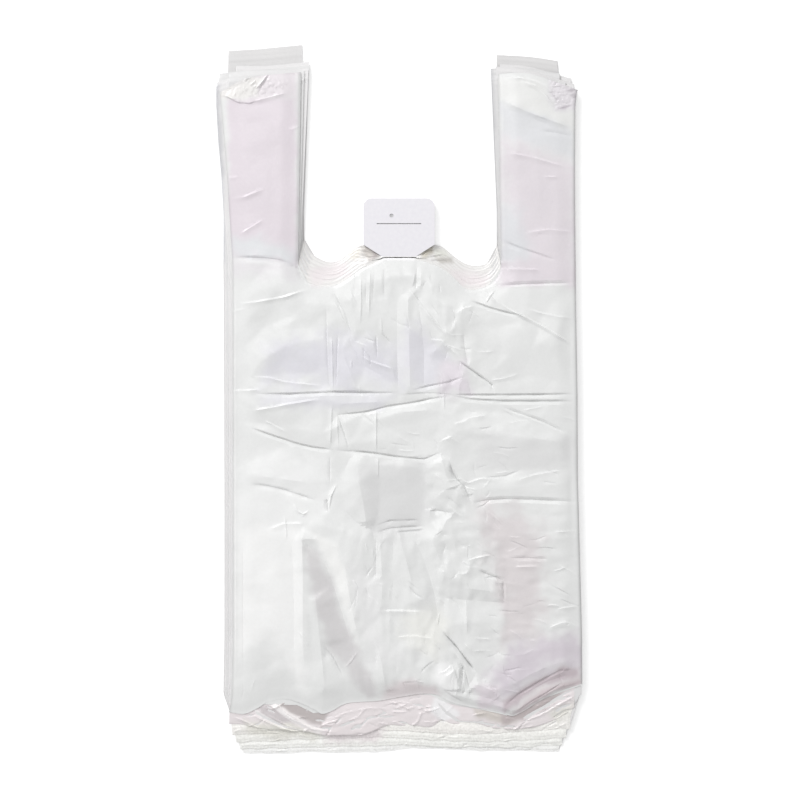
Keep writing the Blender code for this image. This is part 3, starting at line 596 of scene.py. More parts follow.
# Crumpled patches: the height and the spacing of the facets, how far the facets are drawn out across and
# along the bag, the soft border, the corners in pixels
CRUMPLES = (
    # The handles' tops
    (0.5, 1.6, (1, 1), 3, ((216, 80), (262, 76), (292, 80), (280, 96), (258, 98), (240, 100), (216, 98))),
    (0.6, 1.5, (1.3, 0.8), 5, ((546, 76), (584, 80), (584, 113), (556, 112))),
    # The body
    (0.65, 5.0, (0.6, 2.6), 6, ((350, 262), (440, 262), (452, 330), (420, 330), (400, 300), (350, 300))),
    (1.0, 7.0, (1, 1.2), 6, ((440, 300), (470, 300), (478, 360), (470, 392), (440, 392))),
    (1.4, 6.0, (1, 1), 6, (
        (425, 470), (450, 455), (480, 500), (500, 560), (498, 600), (440, 600), (428, 540),
    )),
    (1.3, 7.0, (1, 1.3), 6, ((385, 640), (470, 640), (520, 660), (510, 712), (385, 700))),
    # Wrinkles drawn out down or across
    (0.7, 5.0, (0.7, 2.4), 9, ((345, 530), (470, 530), (480, 640), (460, 690), (350, 690))),
    (0.6, 5.0, (2.0, 0.7), 8, ((478, 510), (572, 510), (574, 650), (490, 650))),
    (0.4, 5.0, (2.4, 0.8), 8, ((466, 404), (570, 410), (570, 490), (476, 490))),
)

# Colours of the bags' films where they show round the front bag, from the rear bag forwards
BODY_COLOUR = (0.82, 0.825, 0.82)
FILM_COLOURS = (
    (0.7, 0.692, 0.692), (0.795, 0.785, 0.788), (0.765, 0.762, 0.763),
    (0.8, 0.79, 0.793), (0.785, 0.78, 0.782), BODY_COLOUR,
)
# Colours of the ridges and the valleys in the mouths' strips: a painted highlight on the ridges and painted shade
# in the valleys
MOUTH_RIDGE_HIGHLIGHT = (0.87, 0.86, 0.845)
MOUTH_VALLEY_SHADE = (0.8, 0.785, 0.775)

# Patches of another tint: the colour, the soft border, then the corners in pixels. These are the handles'
# edges of the bags' films
FILM_TINTS = (
    ((0.6, 0.6, 0.62), 1.6, ((212, 84), (220, 84), (220, 115), (222, 150), (224, 180), (212, 180))),
    ((0.68, 0.68, 0.7), 1.2, ((212, 178), (223.5, 178), (225, 262), (212, 262))),
    ((0.62, 0.62, 0.635), 1.2, ((486, 66), (493.5, 66), (495, 150), (498, 240), (490, 240))),
)
# And these are the front wall's: its tones, and painted shade and highlights where marked
TINTS_AND_PAINTED_LIGHT = (
    # Under the tear, a painted highlight along the mouth's edge, then the handles
    ((0.96, 0.95, 0.97), 0.5, ((383, 257.5), (415, 257.5), (415, 260.2), (383, 260.2))),
    ((0.765, 0.705, 0.75), 3, ((228, 100), (297, 98), (297, 268), (262, 259), (228, 257))),
    ((0.755, 0.765, 0.785), 7, ((230, 236), (262, 238), (294, 250), (292, 266), (262, 258), (230, 257))),
    ((0.79, 0.745, 0.775), 4, ((218, 70), (300, 62), (298, 98), (252, 102), (262, 78), (218, 84))),
    ((0.815, 0.798, 0.783), 3, ((218, 84), (262, 76), (258, 97), (240, 101), (218, 98))),
    ((0.755, 0.76, 0.78), 5, ((500, 98), (575, 131), (575, 160), (540, 148), (500, 138))),
    ((0.77, 0.722, 0.758), 8, ((502, 140), (540, 150), (575, 165), (575, 284), (502, 284))),
    ((0.74, 0.745, 0.77), 7, ((500, 205), (522, 210), (524, 250), (530, 262), (500, 266))),
    ((0.83, 0.83, 0.82), 3, ((494, 76), (540, 82), (556, 110), (577, 112), (577, 131), (500, 97))),
    ((0.775, 0.745, 0.775), 4, ((545, 76), (584, 80), (584, 112), (556, 110))),
    # Painted shade in the creases of the right handle's crumple, in these four
    ((0.56, 0.53, 0.56), 0.8, ((566, 91), (571, 88.5), (577, 89.5), (572, 92.5))),
    ((0.6, 0.57, 0.6), 0.8, ((569, 95), (574, 93), (577, 97), (573, 98))),
    ((0.65, 0.62, 0.65), 0.8, ((551, 92), (556, 97), (561, 99), (555, 99))),
    ((0.6, 0.56, 0.6), 0.8, ((558, 109), (563, 106), (571, 105), (565, 109))),
    ((0.765, 0.712, 0.752), 7, ((505, 266), (545, 264), (572, 274), (572, 283), (500, 284))),
    # From the mouth to below the middle fold
    ((0.8, 0.78, 0.8), 7, ((228, 260), (290, 268), (300, 276), (228, 280))),
    ((0.77, 0.762, 0.808), 13, ((285, 345), (326, 337), (398, 345), (398, 388), (262, 380), (270, 352))),
    ((0.78, 0.776, 0.81), 5, ((262, 396), (394, 396), (380, 406), (322, 408), (262, 406))),
    ((0.765, 0.757, 0.8), 7, (
        (404, 322), (424, 330), (442, 348), (452, 364), (440, 384), (414, 388), (402, 360),
    )),
    ((0.785, 0.74, 0.785), 6, ((444, 362), (466, 362), (470, 392), (440, 394))),
    ((0.8, 0.75, 0.765), 5, ((305, 262), (352, 262), (346, 282), (312, 284))),
    # The lower body
    ((0.885, 0.888, 0.885), 9, ((255, 448), (330, 458), (332, 500), (300, 530), (232, 530), (232, 500))),
    ((0.905, 0.905, 0.9), 7, ((232, 524), (302, 524), (304, 690), (270, 640), (236, 650))),
    # A painted highlight along the bright facet's edge
    ((0.9, 0.9, 0.89), 3, ((312, 534), (336, 545), (350, 590), (356, 640), (346, 610), (330, 570))),
    ((0.75, 0.75, 0.75), 9, ((358, 462), (430, 464), (430, 510), (420, 540), (372, 540), (360, 510))),
    ((0.785, 0.785, 0.785), 10, ((478, 436), (574, 440), (574, 466), (500, 472), (476, 460))),
    ((0.745, 0.705, 0.712), 11, (
        (476, 506), (512, 512), (540, 528), (545, 600), (540, 640), (500, 645), (500, 590), (484, 540),
    )),
    # Painted shade along the dark band beside that facet
    ((0.7, 0.685, 0.69), 4, (
        (304, 548), (316, 554), (330, 578), (344, 622), (360, 656), (378, 697), (366, 698), (350, 670),
        (328, 648), (316, 606),
    )),
    # The foot, and pale patches in the lower centre
    ((0.7, 0.65, 0.7), 11, (
        (520, 640), (579, 636), (580, 668), (545, 672), (508, 700), (486, 694), (500, 660),
    )),
    # Painted shadow under the billow at the lower right, in these two dark lines
    ((0.58, 0.51, 0.54), 3, (
        (500, 703), (520, 690), (545, 675), (562, 667), (578, 668), (580, 676), (558, 681), (536, 690),
        (516, 706), (504, 712),
    )),
    ((0.66, 0.58, 0.6), 3, (
        (512, 714), (534, 694), (560, 682), (580, 677), (583, 684), (560, 690), (536, 702), (520, 714),
    )),
    ((0.765, 0.71, 0.75), 4, ((474, 683), (498, 686), (502, 710), (478, 708))),
    ((0.755, 0.7, 0.71), 4, ((384, 686), (402, 680), (432, 684), (436, 694), (400, 699), (382, 702))),
    # A painted highlight on the pale lump
    ((0.9, 0.9, 0.9), 4, ((434, 658), (446, 662), (460, 690), (450, 700), (436, 690))),
    ((0.86, 0.86, 0.83), 7, ((400, 612), (462, 606), (448, 634), (436, 655), (404, 640))),
    ((0.85, 0.85, 0.85), 7, ((345, 560), (380, 575), (382, 640), (405, 660), (372, 668), (352, 610))),
    ((0.83, 0.835, 0.83), 7, ((440, 600), (500, 605), (498, 655), (460, 650))),
)


def from_photo(column, row):
    """Frame position of a photograph pixel. Works on numbers and on arrays."""
    x = TAB_MIDDLE.x + (column - TAB_COLUMN) * PHOTO_PIXEL
    y = TAB_LOW.y - (row - PERFORATION_ROW) * PHOTO_PIXEL
    return x, y


def to_row(y):
    """Photograph row of a place in the frame."""
    return PERFORATION_ROW - (y - TAB_LOW.y) / PHOTO_PIXEL


def row_of(line, columns):
    """Row of a line through photograph pixels at these columns."""
    return np.interp(columns, *zip(*line))


def at_share(line, share):
    """Column and row of the place this far along a line of evenly spaced points, from 0 to 1."""
    steps = np.linspace(0, 1, len(line))
    return [np.interp(share, steps, line[:, n]) for n in (0, 1)]


def smooth(share):
    """0 to 1 with level ends."""
    share = np.clip(share, 0, 1)
    return share * share * (3 - 2 * share)


def spline(points, count):
    """Points evenly spaced by length along a Catmull-Rom curve through the given ones."""
    points = np.array(points, float)
    padded = np.vstack((2 * points[0] - points[1], points, 2 * points[-1] - points[-2]))
    pieces = []
    steps = np.linspace(0, 1, 12, endpoint=False)[:, None]
    for a, b, c, d in zip(padded, padded[1:], padded[2:], padded[3:]):
        pieces.append(
            0.5 * (2 * b + (c - a) * steps + (2 * a - 5 * b + 4 * c - d) * steps**2
                   + (3 * b - a - 3 * c + d) * steps**3)
        )
    fine = np.vstack((*pieces, points[-1:]))
    along = np.concatenate(([0], np.cumsum(np.hypot(*np.diff(fine, axis=0).T))))
    wanted = np.linspace(0, along[-1], count)
    return np.column_stack([np.interp(wanted, along, fine[:, axis]) for axis in (0, 1)])


def fine_creases(seed, count, area, usual_turn, spread, heights):
    """Short creases at random places in an area, as the folds above."""
    chance = np.random.default_rng(seed)
    found = []
    for _ in range(count):
        start = np.array((chance.uniform(area[0], area[2]), chance.uniform(area[1], area[3])))
        turn = chance.normal(usual_turn, spread)
        bend = chance.normal(0, FINE_BEND)
        step = chance.uniform(*FINE_STEPS)
        second = start + step * np.array((math.cos(turn), math.sin(turn)))
        third = second + step * np.array((math.cos(turn + bend), math.sin(turn + bend)))
        height = chance.choice((-1, 1)) * chance.uniform(*heights)
        found.append((height, FINE_LEFT, FINE_RIGHT, (tuple(start), tuple(second), tuple(third))))
    return tuple(found)


WALL_FOLDS = FOLDS
for n, (count, area, turn, spread) in enumerate(FINE_AREAS):
    WALL_FOLDS += fine_creases(FINE_SEED + n, count, area, turn, spread, FINE_HEIGHTS)


def to_stretch(x, y, start, end):
    """How far along a straight stretch each place lies, from 0 to 1, and its distance to the stretch."""
    (ax, ay), (bx, by) = start, end
    share = np.clip(((x - ax) * (bx - ax) + (y - ay) * (by - ay)) / math.dist(start, end) ** 2, 0, 1)
    return share, np.hypot(x - ax - share * (bx - ax), y - ay - share * (by - ay))


def from_line(x, y, points):
    """Each place's distance to a line through photograph pixels, how far along it is, from 0 to 1, and its side.

    The side is above 0 to the left of the line, for someone who walks along it in the photograph.
    """
    nearest = np.full(x.shape, np.inf)
    along = np.zeros(x.shape)
    aside = np.zeros(x.shape)
    corners = [from_photo(*point) for point in points]
    lengths = [math.dist(a, b) for a, b in zip(corners, corners[1:])]
    passed = 0.0
    for (ax, ay), (bx, by), length in zip(corners, corners[1:], lengths):
        share, distance = to_stretch(x, y, (ax, ay), (bx, by))
        closer = distance < nearest
        nearest = np.where(closer, distance, nearest)
        along = np.where(closer, (passed + share * length) / sum(lengths), along)
        aside = np.where(closer, (bx - ax) * (y - ay) - (by - ay) * (x - ax), aside)
        passed += length
    return nearest, along, aside


def is_narrow(left, right):
    """Whether a fold with these slopes is a narrow crease."""
    return max(left, right) <= NARROW_CREASE


def far_slope(left, right):
    """How far a fold's slope reaches away from the light. A narrow crease is gentle on that side."""
    return right * GENTLE_SIDE if is_narrow(left, right) else right


def fold(x, y, height, left, right, points):
    """A fold of this height whose two slopes reach this far from its line. It dies away at both ends."""
    if is_narrow(left, right):
        height = height * CREASE_GAIN
    right = far_slope(left, right)
    distance, along, aside = from_line(x, y, points)
    reach = np.where(aside > 0, left, right) * MM
    profile = np.clip(1 - distance / reach, 0, 1) ** SLOPE_CURVE
    taper = smooth(np.minimum(along, 1 - along) / END_TAPER + END_START)
    length = sum(math.dist(from_photo(*a), from_photo(*b)) for a, b in zip(points, points[1:])) / MM
    swell = LEAST_SWELL
    for (share, wave), start in zip(SWELLS, points[0]):
        swell = swell + share * np.sin(along * length / wave + start)
    return height * MM * profile * taper * swell


def crease_painted_light(x, y, folds):
    """Paints shade in a thin line along each narrow valley and a highlight along each narrow ridge."""
    shade = np.ones(x.shape)
    for height, left, right, points in folds:
        if is_narrow(left, right):
            distance, along, _ = from_line(x, y, points)
            line = np.clip(1 - distance / (LINE_REACH * MM), 0, 1)
            line = line * smooth(np.minimum(along, 1 - along) / LINE_TAPER)
            shade += line * (RIDGE_PAINTED_HIGHLIGHT * height if height > 0 else VALLEY_PAINTED_SHADE * height)
    return shade


def straight_between(x, y, corners, lifted, triangles):
    """Height at each place of a surface that is flat within each of these triangles."""
    result = np.zeros(x.shape)
    order = np.argsort(x, axis=None)
    flat_x, flat_y = x.ravel()[order], y.ravel()[order]
    flat = np.zeros(flat_x.shape)
    for a, b, c in triangles:
        pa, pb, pc = corners[a], corners[b], corners[c]
        area = (pb[0] - pa[0]) * (pc[1] - pa[1]) - (pc[0] - pa[0]) * (pb[1] - pa[1])
        if abs(area) < 1e-12:
            continue
        left, right = np.searchsorted(flat_x, (min(pa[0], pb[0], pc[0]), max(pa[0], pb[0], pc[0])))
        px, py = flat_x[left:right], flat_y[left:right]
        wb = ((px - pa[0]) * (pc[1] - pa[1]) - (pc[0] - pa[0]) * (py - pa[1])) / area
        wc = ((pb[0] - pa[0]) * (py - pa[1]) - (px - pa[0]) * (pb[1] - pa[1])) / area
        inside = (wb >= -1e-9) & (wc >= -1e-9) & (wb + wc <= 1 + 1e-9)
        value = lifted[a] * (1 - wb - wc) + lifted[b] * wb + lifted[c] * wc
        flat[left:right] = np.where(inside, value, flat[left:right])
    result.ravel()[order] = flat
    return result


def net_height(x, y):
    """Height of the broad facets that NET describes."""
    points, heights, edges = [], [], []
    for line in NET:
        start = len(points)
        points += [from_photo(column, row) for column, row, _ in line]
        heights += [height * MM for _, _, height in line]
        edges += [(start + n, start + n + 1) for n in range(len(line) - 1)]
    made = delaunay_2d_cdt([Vector(point) / MM for point in points], edges, [], 0, 1e-4)
    corners = np.array([tuple(place) for place in made[0]]) * MM
    lifted = []
    for corner, origin in zip(corners, made[3]):
        # A corner where two lines cross has no origin, and takes the nearest point's height
        nearest = origin[0] if origin else np.argmin([math.dist(corner, point) for point in points])
        lifted.append(heights[nearest])
    return straight_between(x, y, corners, lifted, made[2])


def facets(x, y, seed, spacing, height):
    """Flat random facets between ridges, as crumpled film has."""
    chance = np.random.default_rng(seed)
    low = np.array((x.min(), y.min())) - 2 * spacing * MM
    high = np.array((x.max(), y.max())) + 2 * spacing * MM
    columns, rows = np.ceil((high - low) / (spacing * MM)).astype(int) + 1
    places = np.stack(np.meshgrid(np.arange(columns), np.arange(rows)), -1).reshape(-1, 2).astype(float)
    places = low + (places + chance.uniform(-0.42, 0.42, places.shape)) * spacing * MM
    heights = chance.uniform(0, height * MM, len(places))
    made = delaunay_2d_cdt([Vector(place) for place in places], [], [], 0, 1e-9)
    corners = np.array([tuple(place) for place in made[0]])
    source = [origin[0] for origin in made[3]]
    return straight_between(x, y, corners, heights[source], made[2])


def waves(x, y, seed, length, height):
    """Soft waves of about this length and height."""
    shift = Vector((seed * 13.1, seed * 7.7, seed * 3.3))
    flat = [
        noise.noise(Vector((px, py, 0)) / (length * MM) + shift)
        for px, py in zip(x.ravel(), y.ravel())
    ]
    return np.array(flat).reshape(x.shape) * height * MM


class Bag:
    """Where one bag lies: number 1 is the rear one."""

    def __init__(self, number):
        self.number = number
        self.name = f"bag_{number}"
        self.front = number == BAG_COUNT
        self.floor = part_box(self.name)[0][2]
        self.left, self.right = BODY_EDGES[number - 1]
        self.base = BASE_EDGES[number - 1]
        self.left_top = LEFT_TOPS[number - 1]
        self.right_top = RIGHT_TOPS[number - 1]
        rear, front = spline(REAR_MOUTH, 400), spline(FRONT_MOUTH, 400)
        self.mouth = rear + (front - rear) * ((number - 1) / (BAG_COUNT - 1))
        self.inner_left = self.mouth[0]
        self.inner_right = self.mouth[-1]

    def from_mouth(self, columns, rows):
        """Distance to the mouth's edge, in pixels."""
        near = np.full(np.shape(columns), np.inf)
        for column, row in self.mouth[::4]:
            near = np.minimum(near, np.hypot(columns - column, rows - row))
        return near

    def pressed(self, columns, rows):
        """Level of the bag's top layer: its layers lie pressed together at the seals and the mouth's edge."""
        near = np.minimum(self.from_mouth(columns, rows), row_of(self.base, columns) - rows)
        for tops, beside in ((self.left_top, columns < TAB_COLUMN), (self.right_top, columns > TAB_COLUMN)):
            near = np.where(beside, np.minimum(near, rows - row_of(tops, columns)), near)
        return PRESSED_SHARE + (1 - PRESSED_SHARE) * smooth(near * PHOTO_PIXEL / (PRESSED_REACH * MM))

    def top_of_layer(self, layer, columns, rows):
        """Height of one of the bag's four layers."""
        return self.floor + (HALF_FILM + LAYER_PITCH * layer * self.pressed(columns, rows)) * MM

    def swollen(self, nearer, columns, rows, share):
        """Height of crumpled film that rises from this bag's edge, at share 0, to the nearer bag's edge, at 1."""
        low = self.floor + (STRIP_START + LAYER_PITCH * FRONT_LAYER * PRESSED_SHARE) * MM
        high = nearer.floor - STRIP_END * MM
        risen = low + (high - low) * np.clip(share, 0, 1)
        return np.maximum(risen, self.top_of_layer(FRONT_LAYER, columns, rows) + STRIP_CLEARANCE * MM)

    def side(self, row, right):
        """Column of a body side edge at these rows."""
        base = self.base[-1] if right else self.base[0]
        top = self.right_top[-1] if right else self.left_top[0]
        edge = self.right if right else self.left
        lower = edge + (RIGHT_STANDS_OUT if right else 0)
        rows = (top[1], *SIDE_CORNERS, base[1])
        between = edge + (top[0] - edge) * HANDLE_LEAN
        last = lower if right else edge - LEFT_DRAWN_IN
        columns = (top[0], between, edge, edge, lower, last, base[0])
        order = np.argsort(rows)
        bulge = np.interp(row, SIDE_ROWS, RIGHT_BULGE if right else LEFT_BULGE)
        bulge = bulge * (FRONT_LEFT_BULGE if self.front and not right else 1)
        return np.interp(row, np.array(rows)[order], np.array(columns)[order]) + bulge

    def inner(self, row, right):
        """Column of a handle's cut edge at these rows, straight on below the mouth."""
        end = self.inner_right if right else self.inner_left
        top = self.right_top[0] if right else self.left_top[-1]
        return np.interp(row, (top[1], end[1]), (top[0], end[0]))


def column_places(bag, flat, body_rows, mouth_rows, handle_rows):
    """Photograph columns and rows of a line of film, from the base up, at this place across the flat bag."""
    right = flat > 0
    in_handle = abs(flat) >= HANDLE_INNER
    below = np.linspace(0, 1, body_rows + 1)
    within = np.linspace(0, 1, mouth_rows + 1)[1:]
    if in_handle:
        across = (abs(flat) - HANDLE_INNER) / (HALF_WIDTH - HANDLE_INNER)
        top_row = (bag.inner_right if right else bag.inner_left)[1]
    else:
        share = (flat + HANDLE_INNER) / (2 * HANDLE_INNER)
        top_column, top_row = at_share(bag.mouth, share)
    estimate = bag.left + (flat + HALF_WIDTH) / (2 * HALF_WIDTH) * (bag.right - bag.left)
    base_row = row_of(bag.base, estimate)
    body = base_row + (LEVEL_ROW - base_row) * below
    rows = np.concatenate((body, LEVEL_ROW + (top_row - LEVEL_ROW) * within))
    if in_handle:
        tops = bag.right_top if right else bag.left_top
        _, tip_row = at_share(spline(tops, TOP_STEPS), across if right else 1 - across)
        up = 1 - (1 - np.linspace(0, 1, handle_rows + 1)[1:]) ** TOP_CROWDING
        rows = np.concatenate((rows, top_row + (tip_row - top_row) * up))
        inner, outer = bag.inner(rows, right), bag.side(rows, right)
        columns = inner + (outer - inner) * across
    else:
        left, far = bag.inner(rows, False), bag.inner(rows, True)
        columns = left + (far - left) * share
        pull = np.concatenate((np.zeros(body_rows + 1), within))
        columns = columns + (top_column - columns[-1]) * smooth(pull)
    return columns, rows


def ring_of(fine, coarse):
    """Columns once round the folded tube, as place across, layer and fold offset, and the front's number."""
    def wall(step):
        far, *near_edge = [HALF_WIDTH - inset for inset in HANDLE_EDGE_STEPS]
        handle = np.linspace(HANDLE_INNER, far, max(2, round((far - HANDLE_INNER) / step)) + 1)
        handle = np.append(handle, (*near_edge, HALF_WIDTH - FOLD_RADIUS))
        mouth = np.linspace(-HANDLE_INNER, HANDLE_INNER, round(2 * HANDLE_INNER / step) + 1)[1:-1]
        return np.concatenate((-handle[::-1], mouth, handle))

    front = [(flat, FRONT_LAYER, 0) for flat in wall(fine)]
    back = [(flat, 0, 0) for flat in wall(coarse)[::-1]]
    panel = np.linspace(HALF_WIDTH - GUSSET_DEPTH + TUCK_GAP, HALF_WIDTH - FOLD_RADIUS, 4)
    panel[1] = HANDLE_INNER + 1
    outer, tuck = HALF_WIDTH - FOLD_RADIUS, panel[0]
    ring = list(front)
    for side, order in ((1, (3, 2, 1, 0)), (-1, (0, 1, 2, 3))):
        ring.append((side * outer, (order[0] + order[1]) / 2, side * FOLD_RADIUS))
        ring += [(side * flat, order[1], 0) for flat in panel[::-1]]
        ring.append((side * tuck, (order[1] + order[2]) / 2, -side * FOLD_RADIUS))
        ring += [(side * flat, order[2], 0) for flat in panel]
        ring.append((side * outer, (order[2] + order[3]) / 2, side * FOLD_RADIUS))
        if side == 1:
            ring += back
    return ring, len(front)


def patch(x, y, border, corners):
    """1 inside a patch with these photograph pixels as corners, 0 outside it, with a soft border."""
    corners = [from_photo(*corner) for corner in corners]
    inside = np.zeros(x.shape, bool)
    nearest = np.full(x.shape, np.inf)
    for (ax, ay), (bx, by) in zip(corners, corners[1:] + corners[:1]):
        nearest = np.minimum(nearest, to_stretch(x, y, (ax, ay), (bx, by))[1])
        crosses = (ay > y) != (by > y)
        slope = (bx - ax) / (by - ay) if by != ay else 0
        inside ^= crosses & (x < ax + (y - ay) * slope)
    signed = np.where(inside, nearest, -nearest)
    return smooth(0.5 + signed / (2 * border * MM))


def front_relief(x, y):
    """The front wall's height above its lowest place."""
    below_handles = HANDLE_FACETS + (1 - HANDLE_FACETS) * smooth((to_row(y) - HANDLES_END) / HANDLES_FADE)
    relief = net_height(x, y)
    for seed, spacing, height in SMALL_FACETS:
        relief += facets(x, y, seed, spacing, height) * below_handles
    for seed, (height, spacing, stretch, border, corners) in enumerate(CRUMPLES, 31):
        crumpled = facets(x / stretch[0], y / stretch[1], seed, spacing, height)
        if spacing < FINE_CRUMPLE:
            crumpled -= height / 2 * MM
        relief += patch(x, y, border, corners) * crumpled
    for crease in WALL_FOLDS:
        relief += fold(x, y, *crease)
    return relief


def tint_film(mesh, x, y, base_colour, patches=(), shade=1):
    """Writes the film's colour at each vertex. The soft patches' borders wander, as the film's layers do."""
    x, y = x.ravel(), y.ravel()
    wander_x = sum(waves(x, y, *wave) for wave in WANDER_ACROSS)
    wander_y = sum(waves(x, y, *wave) for wave in WANDER_ALONG)
    colour = np.zeros((len(x), 3)) + np.array(base_colour)
    for tint, border, corners in patches:
        share = patch(x + wander_x * border, y + wander_y * border, border, corners)[:, None]
        colour += (np.array(tint) - colour) * share
    # The shade factor is painted shade and highlights, multiplied into the colour
    mottle_and_shade = (1 + waves(x, y, *MOTTLE)[:, None]) * shade
    layer = mesh.color_attributes.new("tint", "FLOAT_COLOR", "POINT")
    layer.data.foreach_set("color", np.column_stack((colour * mottle_and_shade, np.ones(len(x)))).ravel())


def film_mesh(name, x, y, z, faces, sharp_angle=None):
    """A smooth mesh of film. Edges that turn by more than the angle, in degrees, stay sharp."""
    mesh = bpy.data.meshes.new(name)
    mesh.from_pydata(np.column_stack((x.ravel(), y.ravel(), z.ravel())).tolist(), [], faces.tolist())
    mesh.shade_smooth()
    if sharp_angle:
        mesh.set_sharp_from_angle(angle=math.radians(sharp_angle))
    return mesh


def film_piece(mesh, material):
    """Puts a mesh of film into the scene, as a piece that rides on the pack."""
    mesh.materials.append(material)
    piece = bpy.data.objects.new(mesh.name, mesh)
    bpy.context.scene.collection.objects.link(piece)
    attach(piece, "root")
    return piece


def grid_faces(rows, columns, first, last):
    """Quads between the places of a grid. Each goes by this many places to its second and to its last corner."""
    starts = np.arange(rows - 1)[:, None] * columns + np.arange(columns - 1)
    return np.stack((starts, starts + first, starts + columns + 1, starts + last), -1).reshape(-1, 4)


def sheet_outline(bag):
    """The front wall's outline in frame metres, counter-clockwise from the left end of its base."""
    left_rows = np.linspace(bag.base[0][1], bag.left_top[0][1], 300)[1:-1]
    right_rows = np.linspace(bag.right_top[-1][1], bag.base[-1][1], 300)[1:-1]
    inner_left_rows = np.linspace(bag.left_top[-1][1], bag.inner_left[1], 100)[1:-1]
    inner_right_rows = np.linspace(bag.inner_right[1], bag.right_top[0][1], 100)[1:-1]
    runs = (
        np.column_stack((bag.side(left_rows, False), left_rows)),
        spline(bag.left_top, TOP_STEPS),
        np.column_stack((bag.inner(inner_left_rows, False), inner_left_rows)),
        spline(bag.mouth, 160),
        np.column_stack((bag.inner(inner_right_rows, True), inner_right_rows)),
        spline(bag.right_top, TOP_STEPS),
        np.column_stack((bag.side(right_rows, True), right_rows)),
        spline(bag.base, 180)[::-1],
    )
    pixels = np.vstack(runs)[::-1]
    return np.column_stack(from_photo(pixels[:, 0], pixels[:, 1]))


def crease_points(points, left, right):
    """Points along a fold's line, and on its narrow slopes, every millimetre or two."""
    corners = np.array([from_photo(*point) for point in points])
    length = np.hypot(*np.diff(corners, axis=0).T).sum()
    line = spline(corners, max(4, round(length / (1.3 * MM))))
    ahead = np.gradient(line, axis=0)
    ahead /= np.hypot(*ahead.T)[:, None] + 1e-12
    aside = np.column_stack((-ahead[:, 1], ahead[:, 0])) * MM
    slopes = []
    for reach in (left, -far_slope(left, right)):
        if abs(reach) <= NARROW_FOLD:
            slopes += [line + aside * reach * share for share in (0.4, 1.05)]
    return line, slopes


def creases_between(corners):
    """Points every two millimetres along each straight stretch of a line through photograph pixels."""
    places = np.array([from_photo(*corner) for corner in corners])
    return [
        np.linspace(start, end, max(2, round(math.dist(start, end) / (2 * MM)) + 1))
        for start, end in zip(places, places[1:])
    ]


def loose_grid(low, high, pitch, chance):
    """Places in staggered rows between two corners, each a little off its place."""
    grid = []
    for n, row in enumerate(np.arange(low[1] + pitch / 2, high[1], pitch * ROW_PITCH)):
        across = np.arange(low[0] + pitch * (0.25 + 0.5 * (n % 2)), high[0], pitch)
        grid.append(np.column_stack((across, np.full(len(across), row))))
    grid = np.vstack(grid)
    return grid + chance.uniform(-LOOSENESS, LOOSENESS, grid.shape) * pitch


def fine_places(corners, step, chance):
    """Places in a patch with these photograph pixels as corners, this far apart."""
    places = np.array([from_photo(*corner) for corner in corners])
    (left, low), (right, high) = places.min(0), places.max(0)
    across, up = np.arange(left, right, step), np.arange(low, high, step)
    dense = np.stack(np.meshgrid(across, up), -1).reshape(-1, 2)
    dense += chance.uniform(-0.2, 0.2, dense.shape) * step
    return dense[patch(*dense.T, 0.5, corners) > 0.5]


def rim_places(outline, grid, spacing):
    """Lines of places just inside an outline, and which places of the grid lie clear of them."""
    outward = np.roll(outline, -1, 0) - np.roll(outline, 1, 0)
    outward = np.column_stack((outward[:, 1], -outward[:, 0])) / (np.hypot(*outward.T)[:, None] + 1e-12)
    tree = KDTree(len(outline))
    for n, (px, py) in enumerate(outline):
        tree.insert((px, py, 0), n)
    tree.balance()

    def clear_of(places, distance):
        return np.array([tree.find((px, py, 0))[2] > distance for px, py in places])

    rims = []
    for inset in EDGE_INSETS:
        rim = outline - outward * inset * MM
        rims.append(rim[clear_of(rim, 0.8 * inset * MM)])
    return rims, clear_of(grid, (EDGE_INSETS[-1] + 0.5 * spacing) * MM)


def triangulated(outline, loose, lines):
    """Triangles within an outline, with corners at the loose places and edges along the lines."""
    points = list(outline) + loose
    edges = []
    for line in lines:
        start = len(points)
        points += list(line)
        edges += [(start + n, start + n + 1) for n in range(len(line) - 1)]
    scaled = [Vector((x / MM, y / MM)) for x, y in points]
    made = delaunay_2d_cdt(scaled, edges, [list(range(len(outline)))], 1, 1e-4)
    places = np.array([tuple(place) for place in made[0]]) * MM
    used, triangles = np.unique(np.array([tuple(face) for face in made[2]]), return_inverse=True)
    return places[used], triangles.reshape(-1, 3)


def creased_sheet(bag, spacing):
    """Triangles of the front wall, with edges along its outline and its creases."""
    outline = sheet_outline(bag)
    chance = np.random.default_rng(5)
    pitch = spacing * MM
    grid = loose_grid(outline.min(0), outline.max(0), pitch, chance)
    keep = np.ones(len(grid), bool)
    lines, beside = [], []
    for _, fineness, _, _, corners in CRUMPLES:
        step = fineness * CRUMPLE_STEP * MM
        if step <= FINER_SHARE * pitch:
            keep &= patch(*grid.T, 0.5, corners) < 0.5
            beside.append(fine_places(corners, step, chance))
    for _, left, right, points in WALL_FOLDS:
        line, slopes = crease_points(points, left, right)
        distance, _, aside = from_line(*grid.T, points)
        reach = np.where(aside > 0, left, far_slope(left, right))
        reach = np.where(reach <= NARROW_FOLD, reach, WIDE_FOLD_CLEARANCE)
        keep &= distance > (reach + SLOPE_CLEARANCE * spacing) * MM
        lines.append(line)
        beside += slopes
    for line in NET:
        corners = [(column, row) for column, row, _ in line]
        keep &= from_line(*grid.T, corners)[0] > NET_CLEARANCE * spacing * MM
        lines += creases_between(corners)
    rims, clear = rim_places(outline, grid, spacing)
    loose = list(grid[keep & clear])
    for places in beside + rims:
        loose += list(places)
    return triangulated(outline, loose, lines)


